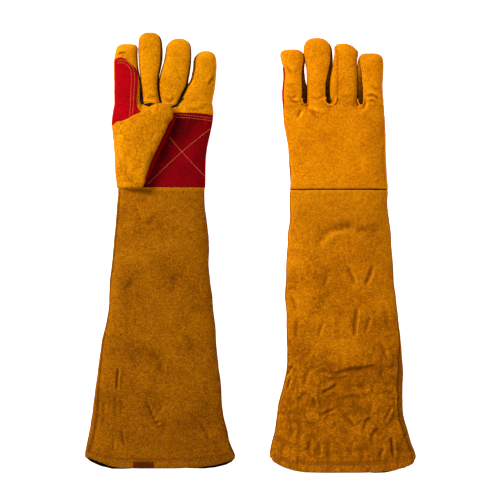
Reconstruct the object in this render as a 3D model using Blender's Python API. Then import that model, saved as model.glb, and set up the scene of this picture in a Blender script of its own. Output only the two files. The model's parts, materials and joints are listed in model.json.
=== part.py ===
"""A pair of long beekeeping gauntlets, lying side by side: left palm up, right back up."""

import math

import bpy
import numpy as np

mm = 0.001

# Leather, lining and the gaps that the seams leave
leather = 1.5 * mm
lining_leather = 0.8 * mm
patch_leather = 1.2 * mm
seam_gap = 0.4 * mm
press = 1.8 * mm  # how far the underside is pressed flat by its own weight

# The hand, from the wrist seam to the finger roots
hand_width = 140 * mm
hand_length = 116 * mm
hand_thickness = 32 * mm
knuckle_thickness = 28 * mm

# The fingers
finger_length = {
    "index": 84 * mm,
    "middle": 99 * mm,
    "ring": 91 * mm,
    "little": 74 * mm,
}
finger_thickness = 24 * mm
curl_axis_height = 2.5 * mm  # of the curl axes above the palm

# The thumb, folded over the palm
thumb_thickness = 20 * mm
thumb_clearance = 0.9 * mm
thumb_strap_width = 5.5 * mm

# The gauntlet cuff
cuff_length = 386 * mm
cuff_wrist_width = 125 * mm
cuff_hem_width = 204 * mm
cuff_thickness = 40 * mm
hem_height = 9 * mm
hem_thickness = 2.4 * mm
wrist_band_width = 2.4 * mm
wrist_band_proud = 0.8 * mm

# The blank sewn label at the left hem
label_width = 26 * mm
label_height = 10 * mm
label_thickness = 0.9 * mm

# How the two gloves lie
glove_spacing = 247 * mm
right_glove_lower = 2 * mm
palm_lift = 21 * mm  # the right hand lies over its own folded thumb
fingertip_droop = 0.62  # the share of that lift that its fingers lose towards the tips

# Where the fingers' edges run, as shares of the hand's width from its centre line:
# at the root, half way and near the tip, then the tip itself.
finger_edges = {
    "left": {
        "index": ((-0.463, -0.176), (-0.463, -0.204), (-0.455, -0.234), -0.345),
        "middle": ((-0.164, -0.008), (-0.196, -0.028), (-0.222, 0.001), -0.108),
        "ring": ((0.004, 0.150), (-0.016, 0.250), (0.012, 0.288), 0.150),
        "little": ((0.222, 0.505), (0.290, 0.537), (0.320, 0.547), 0.436),
    },
    "right": {
        "index": ((-0.555, -0.344), (-0.567, -0.350), (-0.577, -0.344), -0.462),
        "middle": ((-0.332, -0.100), (-0.336, -0.090), (-0.330, -0.080), -0.208),
        "ring": ((-0.088, 0.172), (-0.078, 0.180), (-0.066, 0.184), 0.060),
        "little": ((0.186, 0.430), (0.192, 0.430), (0.196, 0.432), 0.312),
    },
}
finger_reach = {"left": 1.0, "right": 0.935}

# The hand's outline: (share of the hand's length, left edge, right edge), edges as above
hand_edges = {
    "left": ((0, -0.445, 0.436), (0.4, -0.450, 0.445), (0.75, -0.470, 0.500), (1, -0.466, 0.510)),
    "right": ((0, -0.466, 0.462), (0.4, -0.500, 0.440), (0.75, -0.540, 0.436), (1, -0.560, 0.432)),
}

# The cuff's outline: (share of its length, how far it has flared from wrist to hem, sideways shift)
cuff_flare = {
    "left": ((0, 0.0, 0), (0.25, 0.16, 0), (0.5, 0.34, 0), (0.75, 0.62, -4), (1, 1.0, -2)),
    "right": ((0, 0.05, 0), (0.25, 0.26, 0), (0.5, 0.40, 3), (0.75, 0.60, 4), (1, 0.97, 3)),
}

# The thumb's two edges from its base to its tip: across from the hand's edge as a share of
# the hand's width, then along as a share of its length
thumb_upper_edge = ((0.002, 0.735), (0.055, 0.762), (0.132, 0.793), (0.235, 0.855),
                    (0.332, 0.912), (0.405, 0.957), (0.460, 0.985), (0.500, 0.993))
thumb_lower_edge = ((0.010, 0.030), (0.160, 0.030), (0.282, 0.045), (0.320, 0.210),
                    (0.364, 0.372), (0.428, 0.505), (0.500, 0.690), (0.558, 0.900))
thumb_fullness = (0.30, 0.72, 0.95, 1.0, 1.0, 0.95, 0.80, 0.20)

tan = (0.67, 0.225, 0.008)
tan_shade = (0.40, 0.125, 0.006)
red = (0.42, 0.004, 0.010)
dark_red = (0.23, 0.003, 0.006)
label_brown = (0.085, 0.020, 0.005)
lining_black = (0.012, 0.010, 0.010)

hand_power = 2.6
finger_power = 2.3
cuff_power = 2.4

hand_rows = (0.016, 0.20, 0.38, 0.56, 0.73, 0.885, 1.0)
thumb_slot_rows = (0, 4)  # the rows of the palm between which the thumb joins it
thumb_slot_columns = (7, 10)
cuff_rows = (0.0, 0.13, 0.26, 0.39, 0.52, 0.65, 0.78, 0.9, 1.0)
side_angle = 0.5
palm_angles = (side_angle, 10, 24, 44, 67, 90, 113, 136, 150, 168, 180 - side_angle)
finger_rows = (0, 0.2, 0.42, 0.62, 0.78, 0.91, 1.0)
fourchette_angle = 18.0


def clear_scene():
    for obj in list(bpy.data.objects):
        bpy.data.objects.remove(obj, do_unlink=True)


def leather_material(name, colour, roughness):
    made = bpy.data.materials.new(name)
    made.use_nodes = True
    shader = made.node_tree.nodes["Principled BSDF"]
    shader.inputs["Base Color"].default_value = (*colour, 1)
    shader.inputs["Roughness"].default_value = roughness
    shader.inputs["Metallic"].default_value = 0
    return made


def power_section(half_width, half_height, power, angle):
    """A point of a flattened tube's cross-section: rounder than a box, fuller than an ellipse."""
    c = math.cos(math.radians(angle))
    s = math.sin(math.radians(angle))
    x = math.copysign(abs(c) ** (2 / power), c) * half_width
    z = math.copysign(abs(s) ** (2 / power), s) * half_height
    return x, z


def eased(t):
    t = min(max(t, 0.0), 1.0)
    return t * t * (3 - 2 * t)


class Glove:
    """Maps a glove's own frame to the pair's: x across, y from the wrist seam to the tips,
    height from the middle of the hand towards the palm."""

    def __init__(self, side):
        self.side = side
        self.up = 1 if side == "left" else -1
        self.x = -self.up * glove_spacing / 2
        self.y = 0 if side == "left" else -right_glove_lower
        self.parts = []

    def underside(self, y):
        """How high the side that faces the table lies."""
        if self.side == "left":
            return -press
        rise = eased((y + 0.08) / 0.085)
        droop = fingertip_droop * eased((y - hand_length - 0.004) / 0.085)
        return -press + (palm_lift + press) * rise * (1 - droop)

    def place(self, x, y, height, half, floor=0.0):
        middle = self.underside(y) + half
        z = middle + self.up * height
        return np.array((self.x + x, self.y + y, max(z, floor)))


def mesh_object(glove, name, points, faces, colour, roughness, origin):
    """One closed piece, its origin on the axis it turns about, lying flat on the table."""
    origin = np.array(origin, float)
    mesh = bpy.data.meshes.new(name)
    mesh.from_pydata([tuple(p - origin) for p in points], [], faces)
    mesh.validate()
    mesh.update()
    full_name = name if glove is None else f"{glove.side}_{name}"
    obj = bpy.data.objects.new(full_name, mesh)
    bpy.context.scene.collection.children[pair_name].objects.link(obj)
    obj.location = origin
    obj.data.materials.append(leather_material(full_name, colour, roughness))
    volume = 0.0
    for face in faces:
        for corner in range(1, len(face) - 1):
            a, b, c = (points[face[k]] for k in (0, corner, corner + 1))
            volume += np.dot(a, np.cross(b, c))
    if volume < 0:
        mesh.flip_normals()
    mesh.shade_smooth()
    mesh.set_sharp_from_angle(angle=math.radians(50))
    return obj


def shell(glove, name, outer, inner, colour, roughness, origin, ring=False, missing=()):
    """A sheet of leather between two grids of points, its edges closed; ring joins the last
    column to the first, and missing lists cells left open."""
    rows = len(outer)
    columns = len(outer[0])
    cells = columns if ring else columns - 1
    points = [p for grid in (outer, inner) for row in grid for p in row]

    def at(layer, i, j):
        return layer * rows * columns + i * columns + j % columns

    there = {(i, j) for i in range(rows - 1) for j in range(cells)} - set(missing)
    faces = []
    for i, j in sorted(there):
        a, b, c, d = (i, j), (i, j + 1), (i + 1, j + 1), (i + 1, j)
        for corners in ((a, b, c), (a, c, d)):
            faces.append([at(0, *k) for k in corners])
            faces.append([at(1, *k) for k in reversed(corners)])
        before = (i, (j - 1) % cells) if ring else (i, j - 1)
        after = (i, (j + 1) % cells) if ring else (i, j + 1)
        for there_too, p, q in (((i - 1, j), b, a), (after, c, b), ((i + 1, j), d, c), (before, a, d)):
            if there_too not in there:
                faces.append([at(0, *p), at(0, *q), at(1, *q), at(1, *p)])
    used = sorted({k for face in faces for k in face})
    index = {k: n for n, k in enumerate(used)}
    faces = [[index[k] for k in face] for face in faces]
    return mesh_object(glove, name, [points[k] for k in used], faces, colour, roughness, origin)


def grid(glove, stations, angles, grow, floor=0.0):
    """Points of a tube's surface: grow moves the surface outwards; stations say where it runs."""
    found = []
    for centre, y, half_width, half_height, power, seat in stations:
        row = []
        for angle in angles:
            wide = max(half_width + grow, 0.3 * mm)
            high = max(half_height + grow, seam_gap / 2)
            x, height = power_section(wide, high, power, angle)
            row.append(glove.place(centre + x, y, height, seat, floor))
        found.append(row)
    return found


def between(rows, share, column):
    return float(np.interp(share, [r[0] for r in rows], [r[column] for r in rows]))


def hand_station(glove, share):
    edges = hand_edges[glove.side]
    left = between(edges, share, 1) * hand_width
    right = between(edges, share, 2) * hand_width
    half = (hand_thickness + (knuckle_thickness - hand_thickness) * eased(share)) / 2
    return (left + right) / 2, share * hand_length, (right - left) / 2, half, hand_power, half


def cuff_station(glove, share):
    flare = between(cuff_flare[glove.side], share, 1)
    shift = between(cuff_flare[glove.side], share, 2) * mm
    width = cuff_wrist_width + (cuff_hem_width - cuff_wrist_width) * flare
    start = (wrist_band_width / 2 + seam_gap)
    y = -start - share * (cuff_length - hem_height - start)
    fullness = eased(share / 0.3) * (1 - 0.35 * eased((share - 0.6) / 0.4))
    half = (hand_thickness + (cuff_thickness - hand_thickness) * fullness) / 2
    return shift, y, width / 2, half, cuff_power, half


def palm_height(glove, x, y):
    """How high the palm's leather stands above the hand's middle at a point."""
    centre, _, half_width, half, power, _ = hand_station(glove, y / hand_length)
    share = min(abs(x - centre) / half_width, 0.999)
    return half * (1 - share**power) ** (1 / power)


def both_angles(angles):
    return tuple(angles), tuple(180 + a for a in angles)


def build_cuff(glove, origin):
    stations = [cuff_station(glove, share) for share in cuff_rows]
    palm_side, back_side = both_angles(palm_angles)
    shade = tan_shade if glove.side == "left" else tan
    for name, angles in (("cuff_palm_panel", palm_side), ("cuff_back_panel", back_side)):
        outer = grid(glove, stations, angles, 0)
        inner = grid(glove, stations, angles, -leather, leather)
        shell(glove, name, outer, inner, shade, 0.92, origin)
    around = [0, *palm_angles[1:-1], 180, *[180 + a for a in palm_angles[1:-1]]]
    gap = leather + seam_gap
    outer = grid(glove, stations, around, -gap, gap)
    inner = grid(glove, stations, around, -gap - lining_leather, gap + lining_leather)
    shell(glove, "cuff_lining", outer, inner, lining_black, 0.95, origin, ring=True)
    centre, y, half_width, half, power, seat = stations[-1]
    hem = []
    for share, grow in ((0, 0), (0.5, 0.6 * mm), (1, 0)):
        hem_y = y - seam_gap - share * (hem_height - seam_gap)
        hem.append((centre, hem_y, half_width + grow, half + grow, power, seat))
    outer = grid(glove, hem, around, 0.3 * mm)
    inner = grid(glove, hem, around, -hem_thickness, hem_thickness)
    shell(glove, "cuff_hem", outer, inner, shade, 0.9, origin, ring=True)


def build_label(glove, origin):
    """The blank label stands on the hem's upper side, a little left of its middle."""
    centre, y, half_width, half, power, seat = cuff_station(glove, 1.0)
    top = glove.underside(y) + seat + half
    low = y - hem_height + 0.6 * mm
    middle = centre - 9 * mm
    rows = []
    for share in (0, 0.5, 1):
        row = []
        for across in (-0.5, -0.17, 0.17, 0.5):
            x = middle + across * label_width
            row.append((x, low + share * (label_height - 1.2 * mm), top))
        rows.append(row)
    lift = 1.3 * mm
    under = [[np.array((glove.x + x, glove.y + y2, z + lift)) for x, y2, z in r] for r in rows]
    over = [[p + np.array((0, 0, label_thickness)) for p in r] for r in under]
    shell(glove, "hem_label", over, under, label_brown, 0.6, origin)


def build_wrist_band(glove, origin):
    around = [0, *palm_angles[1:-1], 180, *[180 + a for a in palm_angles[1:-1]]]
    centre, _, half_width, half, power, seat = hand_station(glove, 0)
    stations = []
    for y in (-wrist_band_width / 2, wrist_band_width / 2):
        stations.append((centre, y, half_width, half, power, seat))
    outer = grid(glove, stations, around, wrist_band_proud)
    inner = grid(glove, stations, around, -leather, leather)
    shell(glove, "wrist_band", outer, inner, tan, 0.9, origin, ring=True)


def build_thumb_strap(glove, origin):
    """The narrow strap sewn on the palm patch, beside the folded thumb."""
    half = thumb_strap_width / 2
    low = patch_leather + 0.7 * mm
    under, over = [], []
    for across, along in thumb_lower_edge[2:]:
        middle = thumb_base(glove) + across * hand_width + half + 2.5 * mm
        y = max(along, hand_rows[0]) * hand_length
        seat = hand_station(glove, y / hand_length)[3]
        rows = ([], [])
        for x in (middle - half, middle, middle + half):
            height = palm_height(glove, x, y)
            rows[0].append(glove.place(x, y, height + low, seat))
            rows[1].append(glove.place(x, y, height + low + patch_leather, seat))
        under.append(rows[0])
        over.append(rows[1])
    shell(glove, "thumb_strap", over, under, red, 0.85, origin)


def build_hand(glove, origin):
    stations = [hand_station(glove, share) for share in hand_rows]
    palm_side, back_side = both_angles(palm_angles)
    slot = [(i, j) for i in range(*thumb_slot_rows) for j in range(*thumb_slot_columns)]
    outer = grid(glove, stations, palm_side, 0)
    inner = grid(glove, stations, palm_side, -leather, leather)
    shell(glove, "palm_panel", outer, inner, tan, 0.92, origin, missing=slot)
    outer = grid(glove, stations, back_side, 0)
    inner = grid(glove, stations, back_side, -leather, leather)
    shell(glove, "back_panel", outer, inner, tan, 0.92, origin)
    patch = stations[:6]
    under = 0.35 * mm
    angles = palm_angles[1:7]
    outer = grid(glove, patch, angles, under + patch_leather)
    inner = grid(glove, patch, angles, under)
    shell(glove, "palm_patch", outer, inner, dark_red, 0.9, origin)
    build_thumb_strap(glove, origin)


def finger_stations(glove, name):
    root, half_way, near_tip, tip = finger_edges[glove.side][name]
    length = finger_length[name] * finger_reach[glove.side]
    start = hand_length + seam_gap
    found = []
    for share in finger_rows:
        rows = ((0, *root), (0.42, *half_way), (0.78, *near_tip), (1, *near_tip))
        left = between(rows, share, 1) * hand_width
        right = between(rows, share, 2) * hand_width
        closing = max(share - 0.78, 0) / 0.22
        centre = (left + right) / 2 * (1 - closing) + tip * hand_width * closing
        half_width = (right - left) / 2 * math.sqrt(1 - (0.93 * closing) ** 2)
        half = finger_thickness / 2 * (1 - 0.18 * min(share / 0.78, 1)) * (1 - 0.86 * closing**2)
        half = max(half, leather + seam_gap / 2)
        seat = half + 0.5 * (finger_thickness / 2 - half) * closing
        y = start + share * length
        found.append((centre, y, half_width, half, finger_power, seat))
    return found


def build_finger(glove, name, origin):
    stations = finger_stations(glove, name)
    side_gap = math.degrees(seam_gap / (finger_thickness / 2)) * 0.6
    low = fourchette_angle
    strip_right = name != "little"
    strip_left = name != "index"
    start = low + side_gap if strip_right else 1.0
    end = 180 - (low + side_gap if strip_left else 1.0)
    front = [start + (end - start) * k / 5 for k in range(6)]
    back = [360 - a for a in reversed(front)]
    for part, angles, colour in (("front", front, tan), ("back", back, tan)):
        outer = grid(glove, stations, angles, 0)
        inner = grid(glove, stations, angles, -leather, leather)
        shell(glove, f"{name}_{part}", outer, inner, colour, 0.92, origin)
    narrow = low - side_gap
    sides = []
    if strip_right:
        sides.append(("inner" if name == "index" else "right", (-narrow, 0, narrow)))
    if strip_left:
        sides.append(("inner" if name == "little" else "left", (180 - narrow, 180, 180 + narrow)))
    for part, angles in sides:
        outer = grid(glove, stations, angles, 0)
        inner = grid(glove, stations, angles, -leather, leather)
        shell(glove, f"{name}_fourchette_{part}", outer, inner, tan_shade, 0.92, origin)
    if name == "index":
        under = 0.35 * mm
        patch = stations[:5]
        outer = grid(glove, patch, front[1:], under + patch_leather)
        inner = grid(glove, patch, front[1:], under)
        shell(glove, "index_patch", outer, inner, red, 0.9, origin, missing=[(3, 0)])


def thumb_base(glove):
    """The hand's edge that the thumb is joined along."""
    return between(hand_edges[glove.side], 0.4, 1) * hand_width


def thumb_stations(glove):
    found = []
    edge = thumb_base(glove)
    top = patch_leather + 0.35 * mm + thumb_clearance
    for upper, lower, full in zip(thumb_upper_edge, thumb_lower_edge, thumb_fullness):
        a = np.array((edge + upper[0] * hand_width, upper[1] * hand_length))
        b = np.array((edge + lower[0] * hand_width, lower[1] * hand_length))
        half = max(thumb_thickness / 2 * full, leather + seam_gap / 2)
        seats = []
        for k in range(9):
            p = a + (b - a) * k / 8
            seats.append(palm_height(glove, p[0], p[1]))
        found.append((a, b, half, max(seats) + top + half))
    return found


def thumb_grid(glove, stations, angles, grow, floor=0.0):
    found = []
    for a, b, half, height in stations:
        middle = (a + b) / 2
        along = (a - b) / 2
        size = np.linalg.norm(along)
        row = []
        for angle in angles:
            reach, rise = power_section(size + grow, max(half + grow, seam_gap / 2), 2.4, angle)
            p = middle + along / size * reach
            seat = hand_station(glove, p[1] / hand_length)[3]
            row.append(glove.place(p[0], p[1], height + rise, seat, floor))
        found.append(row)
    return found


def build_thumb(glove, origin):
    stations = thumb_stations(glove)
    outer_angles = [0.6 + 178.8 * k / 6 for k in range(7)]
    inner_angles = [180 + a for a in outer_angles]
    outer = thumb_grid(glove, stations, outer_angles, 0)
    inner = thumb_grid(glove, stations, outer_angles, -leather, leather)
    shell(glove, "thumb_outer", outer, inner, tan, 0.92, origin)
    outer = thumb_grid(glove, stations[1:], inner_angles, 0)
    inner = thumb_grid(glove, stations[1:], inner_angles, -leather)
    shell(glove, "thumb_inner", outer, inner, tan, 0.92, origin)


def build_glove(side):
    glove = Glove(side)
    wrist = hand_station(glove, 0)
    half = wrist[3]
    reach = half + curl_axis_height
    y = wrist_band_width / 2 + seam_gap / 2
    flex = glove.place(0, -y, reach, half, -1)
    extend = glove.place(0, y, -reach, half, -1)
    build_cuff(glove, (glove.x, glove.y, 0))
    if side == "left":
        build_label(glove, (glove.x, glove.y, 0))
    build_wrist_band(glove, flex)
    build_hand(glove, extend)
    knuckle = hand_station(glove, 1)[3]
    for name in finger_length:
        root = finger_stations(glove, name)[0]
        height = knuckle + curl_axis_height
        axis = glove.place(root[0], hand_length + seam_gap / 2, height, knuckle, -1)
        build_finger(glove, name, axis)
    base = hand_station(glove, 0.4)
    thumb_x = thumb_base(glove) - 1.0 * mm
    height = palm_height(glove, thumb_x + 2.4 * mm, 0.4 * hand_length) - 1.0 * mm
    build_thumb(glove, glove.place(thumb_x, 0.4 * hand_length, height, base[3], -1))


def centre_pair():
    """Moves the pair so that it stands on z = 0 around the middle of its own box."""
    made = bpy.data.collections[pair_name].objects
    corners = []
    for obj in made:
        base = np.array(obj.location)
        corners += [base + np.array(v.co) for v in obj.data.vertices]
    corners = np.array(corners)
    middle = (corners.min(axis=0) + corners.max(axis=0)) / 2
    shift = np.array((middle[0], middle[1], corners[:, 2].min()))
    for obj in made:
        obj.location = np.array(obj.location) - shift


pair_name = "beekeeping_gloves"
clear_scene()
collection = bpy.data.collections.new(pair_name)
bpy.context.scene.collection.children.link(collection)
for side in ("left", "right"):
    build_glove(side)
centre_pair()
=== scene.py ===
import json
import math

import bpy
import numpy as np
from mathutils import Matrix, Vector

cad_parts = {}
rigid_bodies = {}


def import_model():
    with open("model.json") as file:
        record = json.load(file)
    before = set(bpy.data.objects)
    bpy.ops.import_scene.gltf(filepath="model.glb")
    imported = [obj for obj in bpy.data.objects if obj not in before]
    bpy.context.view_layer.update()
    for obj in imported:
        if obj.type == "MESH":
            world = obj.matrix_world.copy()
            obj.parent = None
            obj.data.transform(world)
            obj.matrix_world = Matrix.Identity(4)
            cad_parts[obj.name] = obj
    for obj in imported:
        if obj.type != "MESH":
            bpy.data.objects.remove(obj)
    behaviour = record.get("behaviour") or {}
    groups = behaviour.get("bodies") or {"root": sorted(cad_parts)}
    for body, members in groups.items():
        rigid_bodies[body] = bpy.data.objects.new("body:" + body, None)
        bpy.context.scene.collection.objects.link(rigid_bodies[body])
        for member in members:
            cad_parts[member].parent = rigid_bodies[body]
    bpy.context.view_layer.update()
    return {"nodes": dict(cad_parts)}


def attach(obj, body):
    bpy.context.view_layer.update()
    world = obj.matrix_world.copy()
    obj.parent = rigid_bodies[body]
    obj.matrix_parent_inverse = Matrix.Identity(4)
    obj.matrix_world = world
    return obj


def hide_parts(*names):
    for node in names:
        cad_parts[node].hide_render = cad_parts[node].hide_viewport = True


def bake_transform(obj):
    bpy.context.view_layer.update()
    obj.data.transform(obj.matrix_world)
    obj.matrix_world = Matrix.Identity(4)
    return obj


for old in list(bpy.data.objects):
    bpy.data.objects.remove(old, do_unlink=True)
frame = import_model()
print("frame loaded:", len(frame["nodes"]), "nodes")

# All lengths are millimetres until a mesh is written. Outlines are (x, y) points in the pair's own frame.
glove = {
    "left": {"wrist": 86.3, "knuckle": 202.3, "palmFaces": 1},
    "right": {"wrist": 84.3, "knuckle": 200.3, "palmFaces": -1},
}
fingerNames = ("index", "middle", "ring", "little")
rightLower = -2.0                                                   # how much lower the right hand lies than the left
skinFloor = 0.15                                                    # no leather goes closer to the table than this


# ---------- smooth curves, lumps and folds ----------

def ease(t):
    t = np.clip(t, 0, 1)
    return t * t * (3 - 2 * t)


def track(points, at, value=0, along=1):
    """One coordinate of a smooth curve as a function of the other."""
    pts = np.array(sorted(points, key=lambda p: p[along]), float)
    a, v = pts[:, along], pts[:, value]
    slope = np.gradient(v, a)
    at = np.asarray(at, float)
    i = np.clip(np.searchsorted(a, at) - 1, 0, len(a) - 2)
    step = a[i + 1] - a[i]
    t = np.clip((at - a[i]) / step, 0, 1)
    t2, t3 = t * t, t * t * t
    return ((2 * t3 - 3 * t2 + 1) * v[i] + (t3 - 2 * t2 + t) * step * slope[i]
            + (3 * t2 - 2 * t3) * v[i + 1] + (t3 - t2) * step * slope[i + 1])


def resample(points, spacing):
    """Even steps along a rounded polyline, with the way it runs at each."""
    pts = np.array(points, float)
    run = np.concatenate([[0], np.cumsum(np.linalg.norm(np.diff(pts, axis=0), axis=1))])
    count = max(int(run[-1] / spacing), 2)
    s = np.linspace(0, run[-1], count + 1)
    out = np.stack([track(list(zip(pts[:, k], run)), s) for k in range(pts.shape[1])], axis=1)
    way = np.gradient(out, axis=0)
    return out, way / np.maximum(np.linalg.norm(way, axis=1, keepdims=True), 1e-9)


def lumps(p, size, seed):
    """Soft seeded lumps between -1 and 1, about size across."""
    q = p / size
    cell = np.floor(q).astype(np.int64)
    f = q - cell
    f = f * f * (3 - 2 * f)
    table = np.random.default_rng(seed).random(4096) * 2 - 1
    total = 0
    for dx in (0, 1):
        for dy in (0, 1):
            for dz in (0, 1):
                key = (cell[..., 0] + dx) * 7919 + (cell[..., 1] + dy) * 104729 + (cell[..., 2] + dz) * 1299709
                weight = ((f[..., 0] if dx else 1 - f[..., 0]) * (f[..., 1] if dy else 1 - f[..., 1])
                          * (f[..., 2] if dz else 1 - f[..., 2]))
                total = total + weight * table[(key ^ (key >> 7)) & 4095]
    return total


def nearLine(p, line):
    """Distance of each point from a polyline, seen from above, how far along it (0 to 1) and on which side."""
    xy = p[..., :2]
    pts = np.array(line, float)
    best = np.full(xy.shape[:-1], 1e9)
    share = np.zeros(xy.shape[:-1])
    hand = np.zeros(xy.shape[:-1])
    run = np.concatenate([[0], np.cumsum(np.linalg.norm(np.diff(pts, axis=0), axis=1))])
    for k in range(len(pts) - 1):
        d = pts[k + 1] - pts[k]
        t = np.clip(((xy - pts[k]) @ d) / (d @ d), 0, 1)
        off = xy - pts[k] - t[..., None] * d
        far = np.linalg.norm(off, axis=-1)
        closer = far < best
        best = np.where(closer, far, best)
        share = np.where(closer, (run[k] + t * (run[k + 1] - run[k])) / run[-1], share)
        hand = np.where(closer, d[0] * off[..., 1] - d[1] * off[..., 0], hand)
    return best, share, hand


def fold(p, line, depth, width, ridge=0.5):
    """A crease pressed into leather, with the leather heaped a little along one side of it."""
    taper = 0.3                                                     # share of its length that fades out at each end
    low, high = np.min(line, axis=0) - 5 * width, np.max(line, axis=0) + 5 * width
    near = ((p[..., 0] > low[0]) & (p[..., 0] < high[0]) & (p[..., 1] > low[1]) & (p[..., 1] < high[1]))
    out = np.zeros(p.shape[:-1])
    if not near.any():
        return out
    far, share, hand = nearLine(p[near], line)
    fade = np.minimum(ease(share / taper), ease((1 - share) / taper))
    side = np.sign(hand) * far
    heap = np.exp(-((side - 1.9 * width) / (1.3 * width)) ** 2)
    out[near] = depth * fade * (-np.exp(-(far / width) ** 2) + ridge * heap)
    return out


# ---------- the outlines of hands and fingers ----------

outline = {
    "left": {
        "outerLeft": [
            (-183.4, 85.6), (-185.8, 104.3), (-187, 124.9), (-188.1, 145.6), (-190.3, 163.5), (-191.4, 174.6),
            (-189.8, 191.1), (-187.8, 202.2), (-187.7, 221.5), (-188.1, 242.2), (-188, 262.8), (-185.8, 276.6),
            (-184.8, 287.7),
        ],
        "outerRight": [
            (-62.1, 85.6), (-62.1, 104.3), (-61.5, 124.9), (-59, 145.6), (-54.5, 166.3), (-52.4, 177.3),
            (-50.7, 191.1), (-51.9, 202.2), (-51.6, 210.4), (-49.1, 224.2), (-47.4, 240.8), (-46.6, 254.6),
            (-47.7, 268.4), (-48.3, 276.6),
        ],
        "thick": (
            (86, 15.2), (120, 15.6), (160, 15.4), (190, 14.2), (202, 13.0), (235, 11.8), (270, 10.6), (305, 10.0),
        ),
    },
    "right": {
        "outerLeft": [
            (54.9, 83.6), (56.5, 104.3), (54.1, 124.9), (51.9, 145.6), (48.5, 166.3), (46.9, 182.9), (46.1, 200.2),
            (45.6, 217.3), (47.3, 240.8), (45.9, 254.6), (42.5, 264.2), (41.9, 276.6),
        ],
        "outerRight": [
            (189.3, 83.6), (187.8, 104.3), (186.4, 124.9), (186, 145.6), (185.3, 166.3), (184.8, 182.9),
            (184, 200.2), (182.3, 213.2), (181.9, 227), (182.9, 243.5), (183.4, 257.3), (183.1, 273.9),
        ],
        "thick": (
            (84, 15.2), (120, 15.6), (160, 15.2), (190, 14.0), (200, 13.0), (235, 12.0), (270, 11.0), (295, 10.4),
        ),
    },
}

fingers = {
    "left": {
        "index": {
            "right": [
                (-147.7, 202.2), (-148.8, 216), (-149.6, 227), (-151.1, 238), (-154.3, 251.8), (-155.6, 262.8),
                (-155.6, 284.9),
            ],
            "tip": (-169.3, 286), "round": 12, "power": 3.4, "leanLeft": (4, 4, 4, 4),
            "leanRight": (34, 30, 24, 18),
        },
        "middle": {
            "left": [
                (-149.3, 202.2), (-150, 216), (-150.6, 227), (-151.8, 238), (-153.1, 251.8), (-153.6, 262.8),
                (-154.4, 279.4), (-154.4, 295.9),
            ],
            "right": [
                (-122.3, 202.2), (-123.4, 207.7), (-125.1, 216), (-126, 227), (-125.5, 238), (-123.7, 249),
                (-121.6, 260.1), (-121.1, 276.6), (-121.9, 295.9),
            ],
            "tip": (-138.7, 302.3), "round": 17, "power": 2.4, "leanLeft": (36, 26, 20, 18),
            "leanRight": (30, 34, 34, 24),
        },
        "ring": {
            "left": [
                (-123.6, 202.2), (-124.7, 207.7), (-126.5, 216), (-127.4, 227), (-126, 238), (-123.1, 249),
                (-118.9, 261.5), (-116.7, 273.9), (-115.6, 290.4),
            ],
            "right": [
                (-98.2, 202.2), (-95.7, 207.7), (-91.7, 216), (-86.3, 227), (-84.4, 238), (-82.5, 249),
                (-81.1, 260.1), (-81.1, 276.6), (-81.9, 290.4),
            ],
            "tip": (-97.9, 293.7), "round": 16, "power": 2.1, "leanLeft": (34, 26, 22, 20),
            "leanRight": (38, 30, 24, 20),
        },
        "little": {
            "left": [
                (-101.5, 202.2), (-97.9, 207.7), (-93.5, 216), (-87.7, 227), (-82.9, 235.3), (-80, 246.3),
                (-78.6, 260.1), (-78.1, 276.6),
            ],
            "tip": (-60.7, 276.6), "round": 16, "power": 2.2, "leanLeft": (30, 34, 40, 34),
            "leanRight": (4, 4, 4, 4),
        },
    },
    "right": {
        "index": {
            "right": [
                (79.2, 200.2), (79, 213.2), (78.6, 224.2), (76.1, 235.3), (75, 246.3), (75.3, 254.6), (75.8, 262.8),
                (75.6, 273.9), (75.3, 279.4),
            ],
            "tip": (57.1, 278.1), "round": 14, "power": 3.0, "leanLeft": (4, 4, 4, 4),
            "leanRight": (60, 56, 38, 16),
        },
        "middle": {
            "left": [
                (78.3, 200.2), (78.2, 218.7), (78.3, 229.7), (78.6, 238), (77.8, 249), (75.8, 260.1), (73.9, 273.9),
                (74.2, 290.4),
            ],
            "right": [
                (110.2, 200.2), (110.2, 211.8), (109.4, 221.5), (110.2, 235.3), (112.5, 249), (114, 260.1),
                (113.6, 271.1), (112.3, 290.4),
            ],
            "tip": (91.6, 294.1), "round": 18, "power": 2.3, "leanLeft": (14, 12, 12, 12),
            "leanRight": (56, 50, 36, 18),
        },
        "ring": {
            "left": [
                (109.2, 200.2), (108.9, 211.8), (108.8, 221.5), (109.9, 235.3), (112.4, 249), (115.3, 261.5),
                (117.2, 275.2), (118.6, 284.9),
            ],
            "right": [
                (148.9, 200.2), (149.2, 218.7), (148.9, 235.3), (148.2, 249), (147.8, 260.1), (149.8, 271.1),
                (151.1, 282.1),
            ],
            "tip": (127.7, 286.6), "round": 15, "power": 2.3, "leanLeft": (62, 73, 58, 30),
            "leanRight": (26, 22, 18, 14),
        },
        "little": {
            "left": [(147.8, 200.2), (147.8, 216), (147.8, 232.5), (147.8, 249), (148.7, 262.8), (150.9, 273.9)],
            "tip": (165.8, 273), "round": 14, "power": 3.0, "leanLeft": (58, 58, 48, 16), "leanRight": (4, 4, 4, 4),
        },
    },
}

handPower, fingerPower, cuffPower = 2.7, 2.35, 2.5


def underside(side, y):
    """How high the side facing the table lies: the right hand rests on its own folded thumb."""
    if side == "left":
        return np.full(np.shape(y), -1.4)
    local = np.asarray(y, float) - glove[side]["wrist"]
    rise = ease((local + 80) / 85)
    droop = 0.62 * ease((local - 120) / 85)
    return -1.6 + 22.6 * rise * (1 - droop)


def halfThick(side, y):
    return track([(v, a) for a, v in outline[side]["thick"]], y)


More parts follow.
